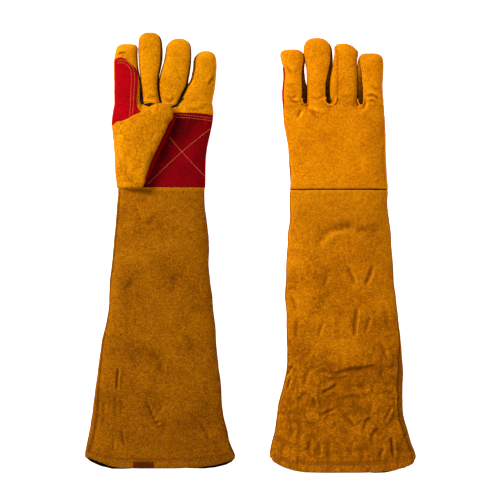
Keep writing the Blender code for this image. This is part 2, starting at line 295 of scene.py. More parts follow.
def fingerEdges(side, name, y):
    """Left and right edge of a finger, closing round its tip, and how much of its thickness is left."""
    f = fingers[side][name]
    tipX, tipY = f["tip"]
    start = tipY - f["round"]
    held = np.minimum(y, tipY - 4)
    left = track(f.get("left") or outline[side]["outerLeft"], held)
    right = track(f.get("right") or outline[side]["outerRight"], held)
    s = np.clip((y - start) / f["round"], 0, 1)
    close = np.maximum(1 - s ** f["power"], 0) ** (1 / f["power"])
    middle = (left + right) / 2 + (tipX - (left + right) / 2) * ease(s) * 0.9
    half = (right - left) / 2 * close
    thick = np.maximum(1 - s ** 2.3, 0) ** (1 / 2.3)
    return middle - half, middle + half, thick


def rootPlaces(side):
    """Each finger's middle and half width at the knuckle line."""
    k = glove[side]["knuckle"]
    found = []
    for name in fingerNames:
        left, right, _ = fingerEdges(side, name, np.array(k))
        found.append(((left + right) / 2, (right - left) / 2))
    return found


roots = {side: rootPlaces(side) for side in glove}


def handHeight(side, x, y, up):
    """The hand's surface above (or below) its middle, growing four lobes towards the fingers."""
    k = glove[side]["knuckle"]
    left = track(outline[side]["outerLeft"], y)
    right = track(outline[side]["outerRight"], y)
    share = np.clip((x - left) / (right - left), 0, 1)
    half = halfThick(side, y)
    smooth = half * np.maximum(1 - np.abs(2 * share - 1) ** handPower, 0) ** (1 / handPower)
    rootLeft = roots[side][0][0] - roots[side][0][1]
    rootRight = roots[side][3][0] + roots[side][3][1]
    atRoot = rootLeft + share * (rootRight - rootLeft)
    lobes = np.zeros(np.shape(smooth))
    for middle, wide in roots[side]:
        s = np.abs(atRoot - middle) / wide
        lobes = np.maximum(lobes, np.maximum(1 - np.minimum(s, 1) ** fingerPower, 0) ** (1 / fingerPower))
    lobes = lobes * halfThick(side, np.array(float(k)))
    reach = 30 if up == glove[side]["palmFaces"] else 17
    near = np.clip((y - (k - reach)) / reach, 0, 1) ** 3
    return smooth + (lobes - smooth) * near


def handSurface(side, x, y, up):
    y = np.asarray(y, float)
    z = underside(side, y) + halfThick(side, y) + up * handHeight(side, x, y, up)
    return np.stack(np.broadcast_arrays(x, y, np.maximum(z, 0.3)), axis=-1)


def fingerSurface(side, name, angle, y):
    """A point of a finger's ring: angle 180 is its left edge, 0 its right, 90 the side away from the table."""
    y = np.asarray(y, float)
    left, right, thick = fingerEdges(side, name, y)
    c, s = np.cos(np.radians(angle)), np.sin(np.radians(angle))
    x = (left + right) / 2 + (right - left) / 2 * np.sign(c) * np.abs(c) ** (2 / fingerPower)
    half = halfThick(side, y)
    z = underside(side, y) + half + half * thick * np.sign(s) * np.abs(s) ** (2 / fingerPower)
    z = z - 0.35 * half * (1 - thick) * (1 if side == "left" else 0.6)
    return np.stack(np.broadcast_arrays(x, y, np.maximum(z, 0.3)), axis=-1)


def toSide(side, places):
    """Places given on the left hand, moved to the same places of the other hand."""
    places = np.array(places, float)
    if side == "left":
        return places
    x, y = places[..., 0], places[..., 1]
    edges = [outline["left"][e] for e in ("outerLeft", "outerRight")]
    share = (x - track(edges[0], y)) / (track(edges[1], y) - track(edges[0], y))
    left, right = (track(outline["right"][e], y + rightLower) for e in ("outerLeft", "outerRight"))
    return np.stack([left + share * (right - left), y + rightLower], axis=-1)


def surfaceAt(side, name, x, y, up):
    """The leather's surface over a point, whether that lies on the hand or on the named finger."""
    x, y = np.broadcast_arrays(np.asarray(x, float), np.asarray(y, float))
    hand = handSurface(side, x, y, up)
    if name is None:
        return hand
    left, right, _ = fingerEdges(side, name, y)
    s = np.clip((x - (left + right) / 2) / np.maximum((right - left) / 2, 1e-3), -1, 1)
    c = np.sign(s) * np.abs(s) ** (fingerPower / 2)
    angle = np.degrees(np.arccos(c)) * up
    finger = fingerSurface(side, name, angle, y)
    return np.where((y < glove[side]["knuckle"])[..., None], hand, finger)


# ---------- how the leather is creased ----------

folds = {
    "left": [
        ([(-182.9, 270.3), (-179.3, 272.8), (-173.8, 273.3), (-169.6, 271.9)], 1.5, 1.5),
        ([(-148.1, 201.7), (-143.4, 202.9), (-137.9, 203.3), (-132.4, 202.2), (-124.7, 200.2)], 6.0, 1.5),
        ([(-122.2, 201.3), (-115.8, 199.4), (-110.3, 198.6), (-104.8, 199.7), (-99, 203)], 6.0, 1.5),
        ([(-57.2, 227), (-53.8, 235.3), (-49, 242.2)], 0.9, 2.0),
        ([(-179.3, 214.6), (-171, 209.1), (-162.7, 211.8)], 0.5, 2.4),
        ([(-91, 196.6), (-74.5, 193.9), (-57.9, 199.4)], 0.5, 2.6),
        ([(-143.4, 207.7), (-136.5, 213.2), (-128.2, 210.4)], 0.6, 2.4),
        ([(-118.6, 210.4), (-110.3, 206.3), (-102, 211.8)], 0.6, 2.4),
    ],
    "right": [
        ([(54.6, 207.1), (62.1, 204.2), (69.4, 202.9)], 1.1, 1.7),
        ([(71.4, 194.2), (68.4, 189.8), (65.6, 182.2)], 1.3, 1.9),
        ([(52.4, 213.2), (57.9, 209.1), (64.8, 213.2)], 0.8, 2.0),
        ([(49.6, 229.7), (56.5, 227), (63.4, 229.1)], 0.5, 2.2),
        ([(74.5, 196.6), (85.5, 191.1), (97.9, 187), (110.3, 188.4)], 0.7, 2.6),
        ([(84.1, 193.9), (91, 184.2), (102, 180.1)], 0.5, 2.4),
        ([(160, 211.1), (166.9, 214), (173.8, 211.8), (179.3, 206.3)], 1.1, 1.9),
        ([(161.3, 203.5), (168.2, 206.3), (176.5, 202.2)], 0.7, 2.0),
        ([(158.6, 206.3), (156.7, 196.6), (148.9, 192.5)], 0.7, 2.2),
        ([(168.2, 227), (173.8, 221.5), (179.3, 222.8)], 0.5, 2.2),
        ([(124.1, 214.6), (133.8, 211), (143.4, 214.6)], 0.45, 2.4),
        ([(84.1, 211.8), (92.4, 208.4), (102, 213.2)], 0.5, 2.2),
        ([(53.8, 251.8), (60.7, 246.3), (67.6, 247.7)], 0.35, 2.2),
        ([(49, 254.6), (53.8, 249.6), (57.9, 242.2)], 0.8, 2.0),
    ],
}


def creaseLines(p, size, seed, width=0.16):
    """A net of thin creases: 1 on a crease, 0 between them."""
    return np.exp(-(lumps(p, size, seed) / width) ** 2)


def relief(side, p, normals):
    """How far leather stands off its smooth form: soft lumps everywhere and creases on the upper side."""
    seed = 11 if side == "left" else 47
    out = 0.50 * lumps(p, 27, seed) + 0.26 * lumps(p, 11, seed + 1) + 0.13 * lumps(p, 5, seed + 2)
    top = ease(normals[..., 2] / 0.6)
    for line, depth, width in folds[side]:
        out = out + top * fold(p, line, depth * (2.3 if depth < 3 else 1), width)
    near = np.exp(-((p[..., 1] - glove[side]["knuckle"]) / 16) ** 2)
    return out - top * 0.55 * near * creaseLines(p, 13, seed + 7)


# ---------- meshes ----------

def cellFaces(rows, columns, ring=False):
    """Quads of a grid, and for a ring the cells that join its last column to its first."""
    cells = columns if ring else columns - 1
    i, j = np.meshgrid(np.arange(rows - 1), np.arange(cells), indexing="ij")
    k = (j + 1) % columns
    corners = [i * columns + j, i * columns + k, (i + 1) * columns + k, (i + 1) * columns + j]
    return np.stack(corners, axis=-1).reshape(-1, 4)


def weldedNormals(grids):
    """Vertex normals of several grids that share edges, as if they were one skin. Each is (points, faces)."""
    points = np.concatenate([g[0].reshape(-1, 3) for g in grids])
    shift = np.cumsum([0] + [g[0].reshape(-1, 3).shape[0] for g in grids[:-1]])
    faces = np.concatenate([g[1] + s for g, s in zip(grids, shift)])
    key = np.round(points / 0.004).astype(np.int64)
    _, index = np.unique(key, axis=0, return_inverse=True)
    index = index.reshape(-1)
    corner = points[faces]
    flat = np.cross(corner[:, 2] - corner[:, 0], corner[:, 3] - corner[:, 1])
    total = np.zeros((index.max() + 1, 3))
    for c in range(4):
        np.add.at(total, index[faces[:, c]], flat)
    total /= np.maximum(np.linalg.norm(total, axis=1, keepdims=True), 1e-12)
    normals = total[index]
    return [normals[s:s + g[0].reshape(-1, 3).shape[0]].reshape(g[0].shape) for g, s in zip(grids, shift)]


def piece(name, points, faces, material, tone=None, normals=None):
    """A mesh object from points in millimetres, with its place at rest and its tone kept for the material."""
    points = np.asarray(points, float).reshape(-1, 3)
    used, inverse = np.unique(np.asarray(faces).reshape(-1), return_inverse=True)
    faces = inverse.reshape(np.shape(faces))
    mesh = bpy.data.meshes.new(name)
    corners = [[int(v) for v in dict.fromkeys(f)] for f in faces.tolist() if len(set(f)) > 2]
    mesh.from_pydata((points[used] * 0.001).tolist(), [], corners)
    mesh.update()
    kept = mesh.attributes.new("restPlace", "FLOAT_VECTOR", "POINT")
    kept.data.foreach_set("vector", points[used].astype(np.float32).reshape(-1))
    shade = mesh.attributes.new("tone", "FLOAT", "POINT")
    values = np.zeros(len(used)) if tone is None else np.asarray(tone, float).reshape(-1)[used]
    shade.data.foreach_set("value", values.astype(np.float32))
    mesh.shade_smooth()
    if normals is not None:
        mesh.normals_split_custom_set_from_vertices(np.asarray(normals).reshape(-1, 3)[used].tolist())
    mesh.materials.append(material)
    obj = bpy.data.objects.new(name, mesh)
    bpy.context.scene.collection.objects.link(obj)
    return obj


def sheetPiece(name, points, normals, thick, sink, material, tone):
    """A patch of leather laid on a surface: raised by thick, its edges rounded over and turned down to sink."""
    rounding = 0.45
    rows, columns = points.shape[:2]
    faces = [cellFaces(rows, columns)]
    top = points + normals * thick
    across, down = np.arange(columns - 1), np.arange(rows - 1)
    i = np.concatenate([0 * across, down, 0 * across + rows - 1, rows - 1 - down])
    j = np.concatenate([across, 0 * down + columns - 1, columns - 1 - across, 0 * down])
    rim = top[i, j]
    out = rim - points[np.clip(i, 1, rows - 2), np.clip(j, 1, columns - 2)] - normals[i, j] * thick
    out -= np.sum(out * normals[i, j], axis=1, keepdims=True) * normals[i, j]
    out /= np.maximum(np.linalg.norm(out, axis=1, keepdims=True), 1e-9)
    rings = [rim]
    for share in (0.35, 0.7, 1.0):
        a = share * math.pi / 2
        rings.append(rim + out * rounding * math.sin(a) - normals[i, j] * rounding * (1 - math.cos(a)))
    rings.append(rings[-1] - normals[i, j] * (thick + sink - rounding))
    count = len(i)
    base = rows * columns
    every = np.concatenate([top.reshape(-1, 3)] + rings[1:])
    edge = i * columns + j
    ids = [edge] + [base + k * count + np.arange(count) for k in range(len(rings) - 1)]
    nxt = (np.arange(count) + 1) % count
    for a, b in zip(ids[:-1], ids[1:]):
        faces.append(np.stack([a[nxt], a, b, b[nxt]], axis=1))
    tones = np.concatenate([tone.reshape(-1)] + [tone[i, j]] * (len(rings) - 1))
    faces = np.concatenate(faces)
    flat = np.cross(every[faces[0, 2]] - every[faces[0, 0]], every[faces[0, 3]] - every[faces[0, 1]])
    if flat @ normals[0, 0] < 0:
        faces = faces[:, ::-1]
    return piece(name, every, faces, material, tone=tones)


def rollPiece(name, path, radius, material, flat, closed=False, tone=0.0):
    """A rolled edge, welt or thread: a round or flattened strip along a path; radius may vary along it."""
    sides = 10
    path = np.array(path, float)
    count = len(path)
    way = np.gradient(path, axis=0)
    if closed:
        way = np.roll(path, -1, axis=0) - np.roll(path, 1, axis=0)
    way /= np.maximum(np.linalg.norm(way, axis=1, keepdims=True), 1e-9)
    side = np.cross(way, (0, 0, 1.0))
    weak = np.linalg.norm(side, axis=1) < 0.05
    side[weak] = (1, 0, 0)
    side /= np.linalg.norm(side, axis=1, keepdims=True)
    up = np.cross(side, way)
    r = np.full(count, radius) if np.isscalar(radius) else np.array(radius, float)
    if not closed:
        fromEnd = np.minimum(np.arange(count), count - 1 - np.arange(count))
        r = r * np.sqrt(np.clip(1 - (1 - fromEnd / 2.0).clip(0, 1) ** 2, 0.02, 1))
    a = np.linspace(0, 2 * math.pi, sides, endpoint=False)
    grid = (path[:, None] + side[:, None] * (np.cos(a)[None, :, None] * r[:, None, None])
            + up[:, None] * (np.sin(a)[None, :, None] * r[:, None, None] * flat))
    if closed:
        grid = np.concatenate([grid, grid[:1]])
    faces = cellFaces(len(grid), sides, ring=True)
    return piece(name, grid, faces, material, tone=np.full(grid.shape[:2], tone))


def stitches(name, path, normals, material, length=2.3, gap=0.75, radius=0.42):
    """A row of single stitches lying along a path, each dipping into the leather at its ends."""
    path = np.array(path, float)
    run = np.concatenate([[0], np.cumsum(np.linalg.norm(np.diff(path, axis=0), axis=1))])
    count = max(int(run[-1] / (length + gap)), 1)
    points, faces = [], []
    sides, rings = 6, (-0.5, -0.36, -0.12, 0.12, 0.36, 0.5)
    for n in range(count):
        middle = (n + 0.5) * run[-1] / count
        s = middle + np.array(rings) * length
        at = np.stack([np.interp(s, run, path[:, k]) for k in range(3)], axis=1)
        nor = np.stack([np.interp(s, run, normals[:, k]) for k in range(3)], axis=1)
        nor /= np.linalg.norm(nor, axis=1, keepdims=True)
        way = at[-1] - at[0]
        way /= max(np.linalg.norm(way), 1e-9)
        side = np.cross(nor, way)
        swell = np.array([0.35, 0.85, 1, 1, 0.85, 0.35]) * radius
        lift = np.array([-0.55, 0.02, 0.22, 0.22, 0.02, -0.55]) * radius
        a = np.linspace(0, 2 * math.pi, sides, endpoint=False)
        ring = (at[:, None] + nor[:, None] * lift[:, None, None]
                + side[:, None] * (np.cos(a)[None, :, None] * swell[:, None, None])
                + nor[:, None] * (np.sin(a)[None, :, None] * swell[:, None, None]))
        faces.append(cellFaces(len(rings), sides, ring=True) + len(points) * len(rings) * sides)
        points.append(ring.reshape(-1, 3))
    return piece(name, np.concatenate(points), np.concatenate(faces), material)


# ---------- materials ----------

class Wire:
    """A socket that arithmetic can be done with."""

    def __init__(self, sheet, socket):
        self.sheet, self.socket = sheet, socket

    def maths(self, kind, other):
        return self.sheet.add("ShaderNodeMath", {"operation": kind}, {0: self, 1: other})

    def __add__(self, other):
        return self.maths("ADD", other)

    def __sub__(self, other):
        return self.maths("SUBTRACT", other)

    def __mul__(self, other):
        return self.maths("MULTIPLY", other)


class Sheet:
    """One material's nodes."""

    def __init__(self, name):
        self.material = bpy.data.materials.new(name)
        self.material.use_nodes = True
        self.tree = self.material.node_tree
        self.shader = self.tree.nodes["Principled BSDF"]

    def add(self, kind, settings=None, inputs=None, output=0):
        node = self.tree.nodes.new(kind)
        for key, value in (settings or {}).items():
            setattr(node, key, value)
        for key, value in (inputs or {}).items():
            self.feed(node.inputs[key], value)
        return Wire(self, node.outputs[output])

    def feed(self, socket, value):
        if isinstance(value, Wire):
            self.tree.links.new(value.socket, socket)
        else:
            socket.default_value = value

    def give(self, values):
        """Sets or links the shader's own inputs."""
        for key, value in values.items():
            self.feed(self.shader.inputs[key], value)

    def stored(self, name, output):
        """A value kept on the mesh's points."""
        return self.add("ShaderNodeAttribute", {"attribute_name": name}, output=output)

    def bump(self, height, strength, distance):
        return self.add("ShaderNodeBump", None, {"Strength": strength, "Distance": distance, "Height": height})

    def mix(self, factor, first, second):
        """Colours mixed by a factor from 0 to 1."""
        node = self.tree.nodes.new("ShaderNodeMix")
        node.data_type = "RGBA"
        self.feed(node.inputs[0], factor)
        self.feed(node.inputs[6], first if isinstance(first, Wire) else (*first, 1))
        self.feed(node.inputs[7], second if isinstance(second, Wire) else (*second, 1))
        return Wire(self, node.outputs[2])

    def noise(self, place, size, detail=2.0, rough=0.5, twist=0.0):
        return self.add("ShaderNodeTexNoise", None, {"Vector": place, "Scale": 1 / size, "Detail": detail,
                                                     "Roughness": rough, "Distortion": twist})

    def clamp(self, value, low=0.0, high=1.0, toLow=0.0, toHigh=1.0):
        return self.add("ShaderNodeMapRange", {"clamp": True}, {0: value, 1: low, 2: high, 3: toLow, 4: toHigh})


def suede(name, dark, middle, light, wornAndLit, grain=1.0, bump=0.45):
    """Split suede: a brushed nap in three shades, patchy over centimetres and speckled over single millimetres."""
    s = Sheet(name)
    place = s.stored("restPlace", 1)
    tone = s.stored("tone", 2)
    patchy = s.noise(place, 30, 2.0, 0.5, 0.4)
    mottle = s.noise(place, 4.6, 2.0, 0.6)
    nap = s.noise(place, 1.9, 2.0, 0.65)
    fibre = s.noise(place, 0.75, 1.0, 0.5)
    value = (patchy - 0.5) * 0.65 + (mottle - 0.5) * (0.75 * grain)
    value = value + (nap - 0.5) * (2.0 * grain) + (fibre - 0.5) * (0.9 * grain)
    # The stored tone carries the leather's own blotches and also painted shade and painted highlight
    value = value + tone + 0.5
    deep = s.mix(s.clamp(value, 0.0, 0.5), dark, middle)
    colour = s.mix(s.clamp(value, 0.5, 1.0), deep, light)
    pit = s.clamp(nap * 0.6 + fibre * 0.4, 0.30, 0.42, 1.0, 0.0)
    colour = s.mix(pit * 0.35, colour, dark)
    # Towards the lightest colour where the tone runs high: wear, plus the painted highlight and painted light carried
    # in the tone
    colour = s.mix(s.clamp(tone, 0.25, 0.7) * 0.6, colour, wornAndLit)
    height = nap * 0.55 + fibre * 0.3 + mottle * 0.45
    s.give({"Base Color": colour, "Roughness": s.clamp(mottle, 0.3, 0.7, 0.98, 0.84),
            "Normal": s.bump(height, bump, 0.0012), "Specular IOR Level": 0.015, "Sheen Weight": 0.05,
            "Sheen Roughness": 0.5, "Sheen Tint": (*[min(1.0, c * 1.4) for c in light], 1)})
    return s.material


def thread(name, dark, light):
    """Twisted sewing thread."""
    s = Sheet(name)
    place = s.stored("restPlace", 1)
    twist = s.noise(place, 0.5, 1.0)
    dust = s.noise(place, 9, 1.0)
    s.give({"Base Color": s.mix(s.clamp(twist * 0.5 + dust * 0.5, 0.35, 0.65), dark, light),
            "Roughness": s.clamp(twist, 0.3, 0.7, 0.55, 0.8), "Normal": s.bump(twist, 0.4, 0.0002)})
    return s.material


def cloth(name, dark, light):
    """The black knitted lining."""
    s = Sheet(name)
    place = s.stored("restPlace", 1)
    loops = s.add("ShaderNodeTexWave", {"wave_type": "BANDS", "bands_direction": "DIAGONAL"},
                  {"Vector": place, "Scale": 0.35, "Distortion": 1.5, "Detail": 1.0}, output=1)
    fluff = s.noise(place, 3.0, 3.0)
    s.give({"Base Color": s.mix(s.clamp(loops * 0.5 + fluff * 0.6, 0.2, 0.9), dark, light),
            "Roughness": s.clamp(fluff, 0.3, 0.7, 0.98, 0.88), "Normal": s.bump(loops + fluff, 0.4, 0.0004),
            "Specular IOR Level": 0.05, "Sheen Weight": 0.15})
    return s.material


finishes = {
    "handTan": suede("hand_tan_suede",
                     (0.38, 0.102, 0.0005), (0.615, 0.182, 0.0007), (0.80, 0.275, 0.0015), (0.88, 0.36, 0.006)),
    "leftTan": suede("left_hand_tan_suede",
                     (0.35, 0.105, 0.0005), (0.585, 0.196, 0.0007), (0.77, 0.295, 0.0015), (0.86, 0.38, 0.006)),
    "leftCuff": suede("left_cuff_suede",
                      (0.140, 0.038, 0.0005), (0.285, 0.084, 0.0008), (0.43, 0.145, 0.002), (0.56, 0.22, 0.006)),
    "rightCuff": suede("right_cuff_suede",
                       (0.23, 0.062, 0.0005), (0.455, 0.132, 0.0008), (0.66, 0.215, 0.002), (0.74, 0.28, 0.006)),
    # A dark copy of the tan suede for the gussets and the right wrist welt: painted shade, standing for the shade
    # between the fingers and along the seam
    "side": suede("painted_shade_suede",
                  (0.016, 0.004, 0.0003), (0.10, 0.028, 0.0006), (0.22, 0.07, 0.002), (0.5, 0.2, 0.01)),
    "brightRed": suede("bright_red_suede",
                       (0.22, 0.0004, 0.002), (0.325, 0.0006, 0.0034), (0.43, 0.0015, 0.006), (0.55, 0.02, 0.012),
                       0.55, 0.25),
    "darkRed": suede("dark_red_suede",
                     (0.07, 0.0004, 0.0016), (0.205, 0.0008, 0.0030), (0.30, 0.0015, 0.005), (0.5, 0.02, 0.02),
                     0.45, 0.25),
    "label": suede("label_leather",
                   (0.045, 0.008, 0.0008), (0.085, 0.0155, 0.0012), (0.13, 0.026, 0.003), (0.2, 0.06, 0.02),
                   0.6, 0.15),
    "redThread": thread("faded_thread", (0.42, 0.080, 0.009), (0.68, 0.18, 0.022)),
    "tanThread": thread("tan_thread", (0.13, 0.040, 0.001), (0.26, 0.085, 0.004)),
    "lining": cloth("black_lining", (0.0012, 0.001, 0.001), (0.006, 0.005, 0.005)),
}
print("materials made:", len(finishes))


# ---------- pieces baked in place --------------------

def bendWrist(obj):
    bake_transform(obj)


def bendFinger(obj):
    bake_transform(obj)


def bendThumb(obj):
    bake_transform(obj)


def bendCuff(obj):
    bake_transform(obj)


# ---------- hands and fingers ----------

seamStyle = {"depth": 1.25, "pucker": 6.0, "fade": 7.0}
topSteps = [0, .3, .6, .86]                                     # left gusset, from the silhouette to its seam
panelSteps = [0, .03, .075] + list(np.linspace(.13, .87, 17)) + [.925, .97]
lastSteps = [0, .14, .4, .7, 1.0]
seamLeft, seamRight = len(topSteps), len(topSteps) + len(panelSteps)
topCount = seamRight + len(lastSteps)
ringCount = 2 * topCount - 2
underLean = 20


def columnAngles(side, name, y):
    """The ring's column angles for each row: where the gusset seams lie changes along the finger."""
    f, k = fingers[side][name], glove[side]["knuckle"]
    share = np.clip((np.atleast_1d(y) - k) / (f["tip"][1] - k), 0, 1)
    leanLeft, leanRight = (np.interp(share, (0, .33, .66, 1), f[w])[:, None] for w in ("leanLeft", "leanRight"))
    one = np.ones_like(leanLeft)
    top = ([180 - leanLeft * t for t in topSteps]
           + [180 - leanLeft - (180 - leanLeft - leanRight) * t for t in panelSteps]
           + [leanRight * (1 - t) for t in lastSteps])
    low = ([180 - underLean * t for t in topSteps]
           + [180 - underLean - (180 - 2 * underLean) * t for t in panelSteps]
           + [underLean * (1 - t) for t in lastSteps])
    return np.concatenate(top + [-a * one for a in reversed(low[1:-1])], axis=1)


def fingerRows(side, name):
    k = glove[side]["knuckle"]
    tip = fingers[side][name]["tip"][1]
    start = tip - fingers[side][name]["round"]
    near = k + np.arange(0, 9) * 0.75
    body = np.linspace(near[-1], start, int((start - near[-1]) / 1.35) + 1)[1:]
    cap = start + (tip - start) * np.sin(np.linspace(0, math.pi / 2, 13))[1:]
    return np.concatenate([near, body, cap - np.linspace(0, 1, 12) ** 8 * 0.02])


def seamGroove(side, name, grid, y):
    """The furrow along each gusset seam, puckered by its stitches."""
    k = glove[side]["knuckle"]
    tip = fingers[side][name]["tip"][1]
    out = np.zeros(grid.shape[:2])
    fade = ease((y - k) / seamStyle["fade"]) * ease((tip - y) / 5)
    pucker = 1 + 0.35 * np.sin(y / seamStyle["pucker"] * 2 * math.pi + len(name))
    for column in (seamLeft, seamRight, ringCount - seamLeft, ringCount - seamRight):
        if name == "index" and column in (seamLeft, ringCount - seamLeft):
            column = 0
        elif name == "little" and column in (seamRight, ringCount - seamRight):
            column = topCount - 1
        deep = 2.2 if (side, name, column) == ("right", "ring", seamLeft) else 1.0
        out[:, column % ringCount] = -seamStyle["depth"] * deep * fade * pucker
        for step in (1, -1):
            out[:, (column + step) % ringCount] += 0.28 * fade
    return out


def fingerBase(side, name):
    y = fingerRows(side, name)
    return y, fingerSurface(side, name, columnAngles(side, name, y), y[:, None])


def handBase(side):
    """The hand's ring of columns, which run on into the fingers' columns."""
    k, w = glove[side]["knuckle"], glove[side]["wrist"]
    y = np.concatenate([w + np.array([0.5, 0.9, 1.6, 2.6]), np.linspace(w + 4, k - 22, 52),
                        np.linspace(k - 21, k - 6, 14), k - np.arange(7, -1, -1) * 0.72])
    y = np.unique(np.round(y, 3))
    columns = []
    for name in fingerNames:
        columns += [(name, c) for c in range(topCount)]
    for name in reversed(fingerNames):
        first = topCount if name == "little" else topCount - 1
        last = ringCount if name == "index" else ringCount + 1
        columns += [(name, c % ringCount) for c in range(first, last)]
    rootRing = {name: fingerSurface(side, name, columnAngles(side, name, k)[0], np.full(ringCount, k))
                for name in fingerNames}
    atRoot = np.array([rootRing[n][c][0] for n, c in columns])
    rootLeft, rootRight = atRoot.min(), atRoot.max()
    share = (atRoot - rootLeft) / (rootRight - rootLeft)
    topside = 4 * topCount
    # Neighbouring fingers overlap a little, and their columns must not cross
    share[:topside] = np.maximum.accumulate(share[:topside]) + np.arange(topside) * 2e-5
    share[topside:] = np.minimum.accumulate(share[topside:]) - np.arange(len(share) - topside) * 2e-5
    left = track(outline[side]["outerLeft"], y)[:, None]
    right = track(outline[side]["outerRight"], y)[:, None]
    x = left + (right - left) * share[None, :]
    yy = np.broadcast_to(y[:, None], x.shape)
    top = handSurface(side, x, yy, 1)
    low = handSurface(side, x, yy, -1)
    grid = np.where((np.arange(len(columns)) < topside)[None, :, None], top, low)
    for n, (name, c) in enumerate(columns):
        grid[-1, n] = rootRing[name][c]
    tuck = np.clip(1 - (y - w) / 2.6, 0, 1) ** 2 * 1.6           # turned in where it meets the wrist seam
    middle = underside(side, y) + halfThick(side, y)
    grid[..., 2] += np.sign(middle[:, None] - grid[..., 2]) * tuck[:, None]
    return y, grid


def buildHand(side):
    """The rows, points and normals of the finished hand and of each finger."""
    rings = {"hand": handBase(side)}
    for name in fingerNames:
        rings[name] = fingerBase(side, name)
    order = ["hand", *fingerNames]
    faces = {n: cellFaces(*rings[n][1].shape[:2], ring=True) for n in order}
    normals = dict(zip(order, weldedNormals([(rings[n][1], faces[n]) for n in order])))
    done = {}
    for n in order:
        y, base = rings[n]
        push = relief(side, base, normals[n])
        if n != "hand":
            push = push + seamGroove(side, n, base, y)
        else:
            push = push + sideSeam(side, base, y)
        done[n] = base + normals[n] * push[..., None]
        done[n][..., 2] = np.maximum(done[n][..., 2], skinFloor)
    final = dict(zip(order, weldedNormals([(done[n], faces[n]) for n in order])))
    return {n: (rings[n][0], done[n], final[n]) for n in order}


def sideSeam(side, base, y):
    """The furrow down each side of the hand, where palm and back are sewn together."""
    out = np.zeros(base.shape[:2])
    fade = ease((y - glove[side]["wrist"] - 2) / 6) * ease((glove[side]["knuckle"] - y) / 7)
    for column in (0, 4 * topCount - 1):
        out[:, column] = -0.8 * fade
    return out


def strip(grid, normals, first, last):
    """Columns first to last of a ring, as a sheet of their own."""
    columns = np.arange(first, last + 1) % grid.shape[1]
    return grid[:, columns], normals[:, columns]


def addStrip(name, grid, normals, first, last, material, toneOf, seam=0.26):
    points, nor = strip(grid, normals, first, last)
    tone = toneOf(points)
    tone[:, [0, -1]] -= seam
    tone[:, [1, -2]] -= 0.06
    return piece(name, points, cellFaces(*points.shape[:2]), material, tone=tone, normals=nor)


def blotchAndCreaseShadeTone(side, points):
    """Random lighter and darker blotches, painted shade in the creases and the knuckle creases, and the heaped ridges
    beside the creases lighter, as wear and painted highlight.
    """
    out = 0.10 * lumps(points, 14, 5)
    for line, depth, width in folds[side]:
        out = out + fold(points, line, min(depth, 1.4) * 0.75, width * 0.85, 0.7)
    near = np.exp(-((points[..., 1] - glove[side]["knuckle"]) / 16) ** 2)
    return out - 0.10 * near * creaseLines(points, 13, (11 if side == "left" else 47) + 7)


def gussetShadeAndLightTone(side, name, points):
    """Painted shade on the gussets, darkened down between the fingers, and painted light near the tips in the right
    glove's last gap.
    """
    knuckle = glove[side]["knuckle"]
    lit = 0.55 if side == "right" and name in ("ring", "little") else 0
    dark = 0.38 * ease((knuckle + 40 - points[..., 1]) / 34)
    return blotchAndCreaseShadeTone(side, points) - (dark - lit * ease((points[..., 1] - knuckle - 26) / 26))


tan = {"left": "leftTan", "right": "handTan"}
for side in ("left", "right"):
    shells = buildHand(side)
    _, grid, normals = shells["hand"]
    upper, lower = ("palm_panel", "back_panel") if side == "left" else ("back_panel", "palm_panel")
    half = 4 * topCount - 1
    for part, first, last in ((upper, 0, half), (lower, half, grid.shape[1])):
        skin = addStrip(f"{side}_{part}_skin", grid, normals, first, last, finishes[tan[side]],
                        lambda p: blotchAndCreaseShadeTone(side, p))
        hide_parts(f"{side}_{part}")
        bendWrist(skin)
    for name in fingerNames:
        _, grid, normals = shells[name]
        topPart, lowPart = ("front", "back") if side == "left" else ("back", "front")
        start = 0 if name == "index" else seamLeft
        end = topCount - 1 if name == "little" else seamRight
        parts = [(topPart, start, end, tan[side]), (lowPart, ringCount - end, ringCount - start, tan[side])]
        # The gussets are made in the dark painted-shade suede, standing for the shade between the fingers; the right
        # ring finger's left gusset rolls up into view and keeps the tan
        if name != "index":
            part = "fourchette_inner" if name == "little" else "fourchette_left"
            shown = (side, name) == ("right", "ring")               # this gusset rolls up into view
            parts.append((part, ringCount - seamLeft, ringCount + seamLeft, tan[side] if shown else "side"))
        if name != "little":
            part = "fourchette_inner" if name == "index" else "fourchette_right"
            parts.append((part, seamRight, ringCount - seamRight, "side"))
        for part, first, last, finish in parts:
            toneOf = (lambda p: gussetShadeAndLightTone(side, name, p)) if finish == "side" else (lambda p: blotchAndCreaseShadeTone(side, p))
            skin = addStrip(f"{side}_{name}_{part}_skin", grid, normals, first, last, finishes[finish], toneOf,
                            0.55 if (side, name) == ("right", "ring") else 0.26)
            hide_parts(f"{side}_{name}_{part}")
            "shaded_tan_suede" if finish == "side" else "tan_suede"
            bendFinger(skin)
print("hands and fingers made")


# ---------- patches on the hand ----------

def drape(side, name, x, y, up):
    """Points and normals of the finished leather over a grid of places."""
    d = 0.4
    base = surfaceAt(side, name, x, y, up)
    ax = surfaceAt(side, name, x + d, y, up) - surfaceAt(side, name, x - d, y, up)
    ay = surfaceAt(side, name, x, y + d, up) - surfaceAt(side, name, x, y - d, up)
    n = np.cross(ax, ay) * up
    n /= np.maximum(np.linalg.norm(n, axis=-1, keepdims=True), 1e-9)
    return base + n * relief(side, base, n)[..., None], n


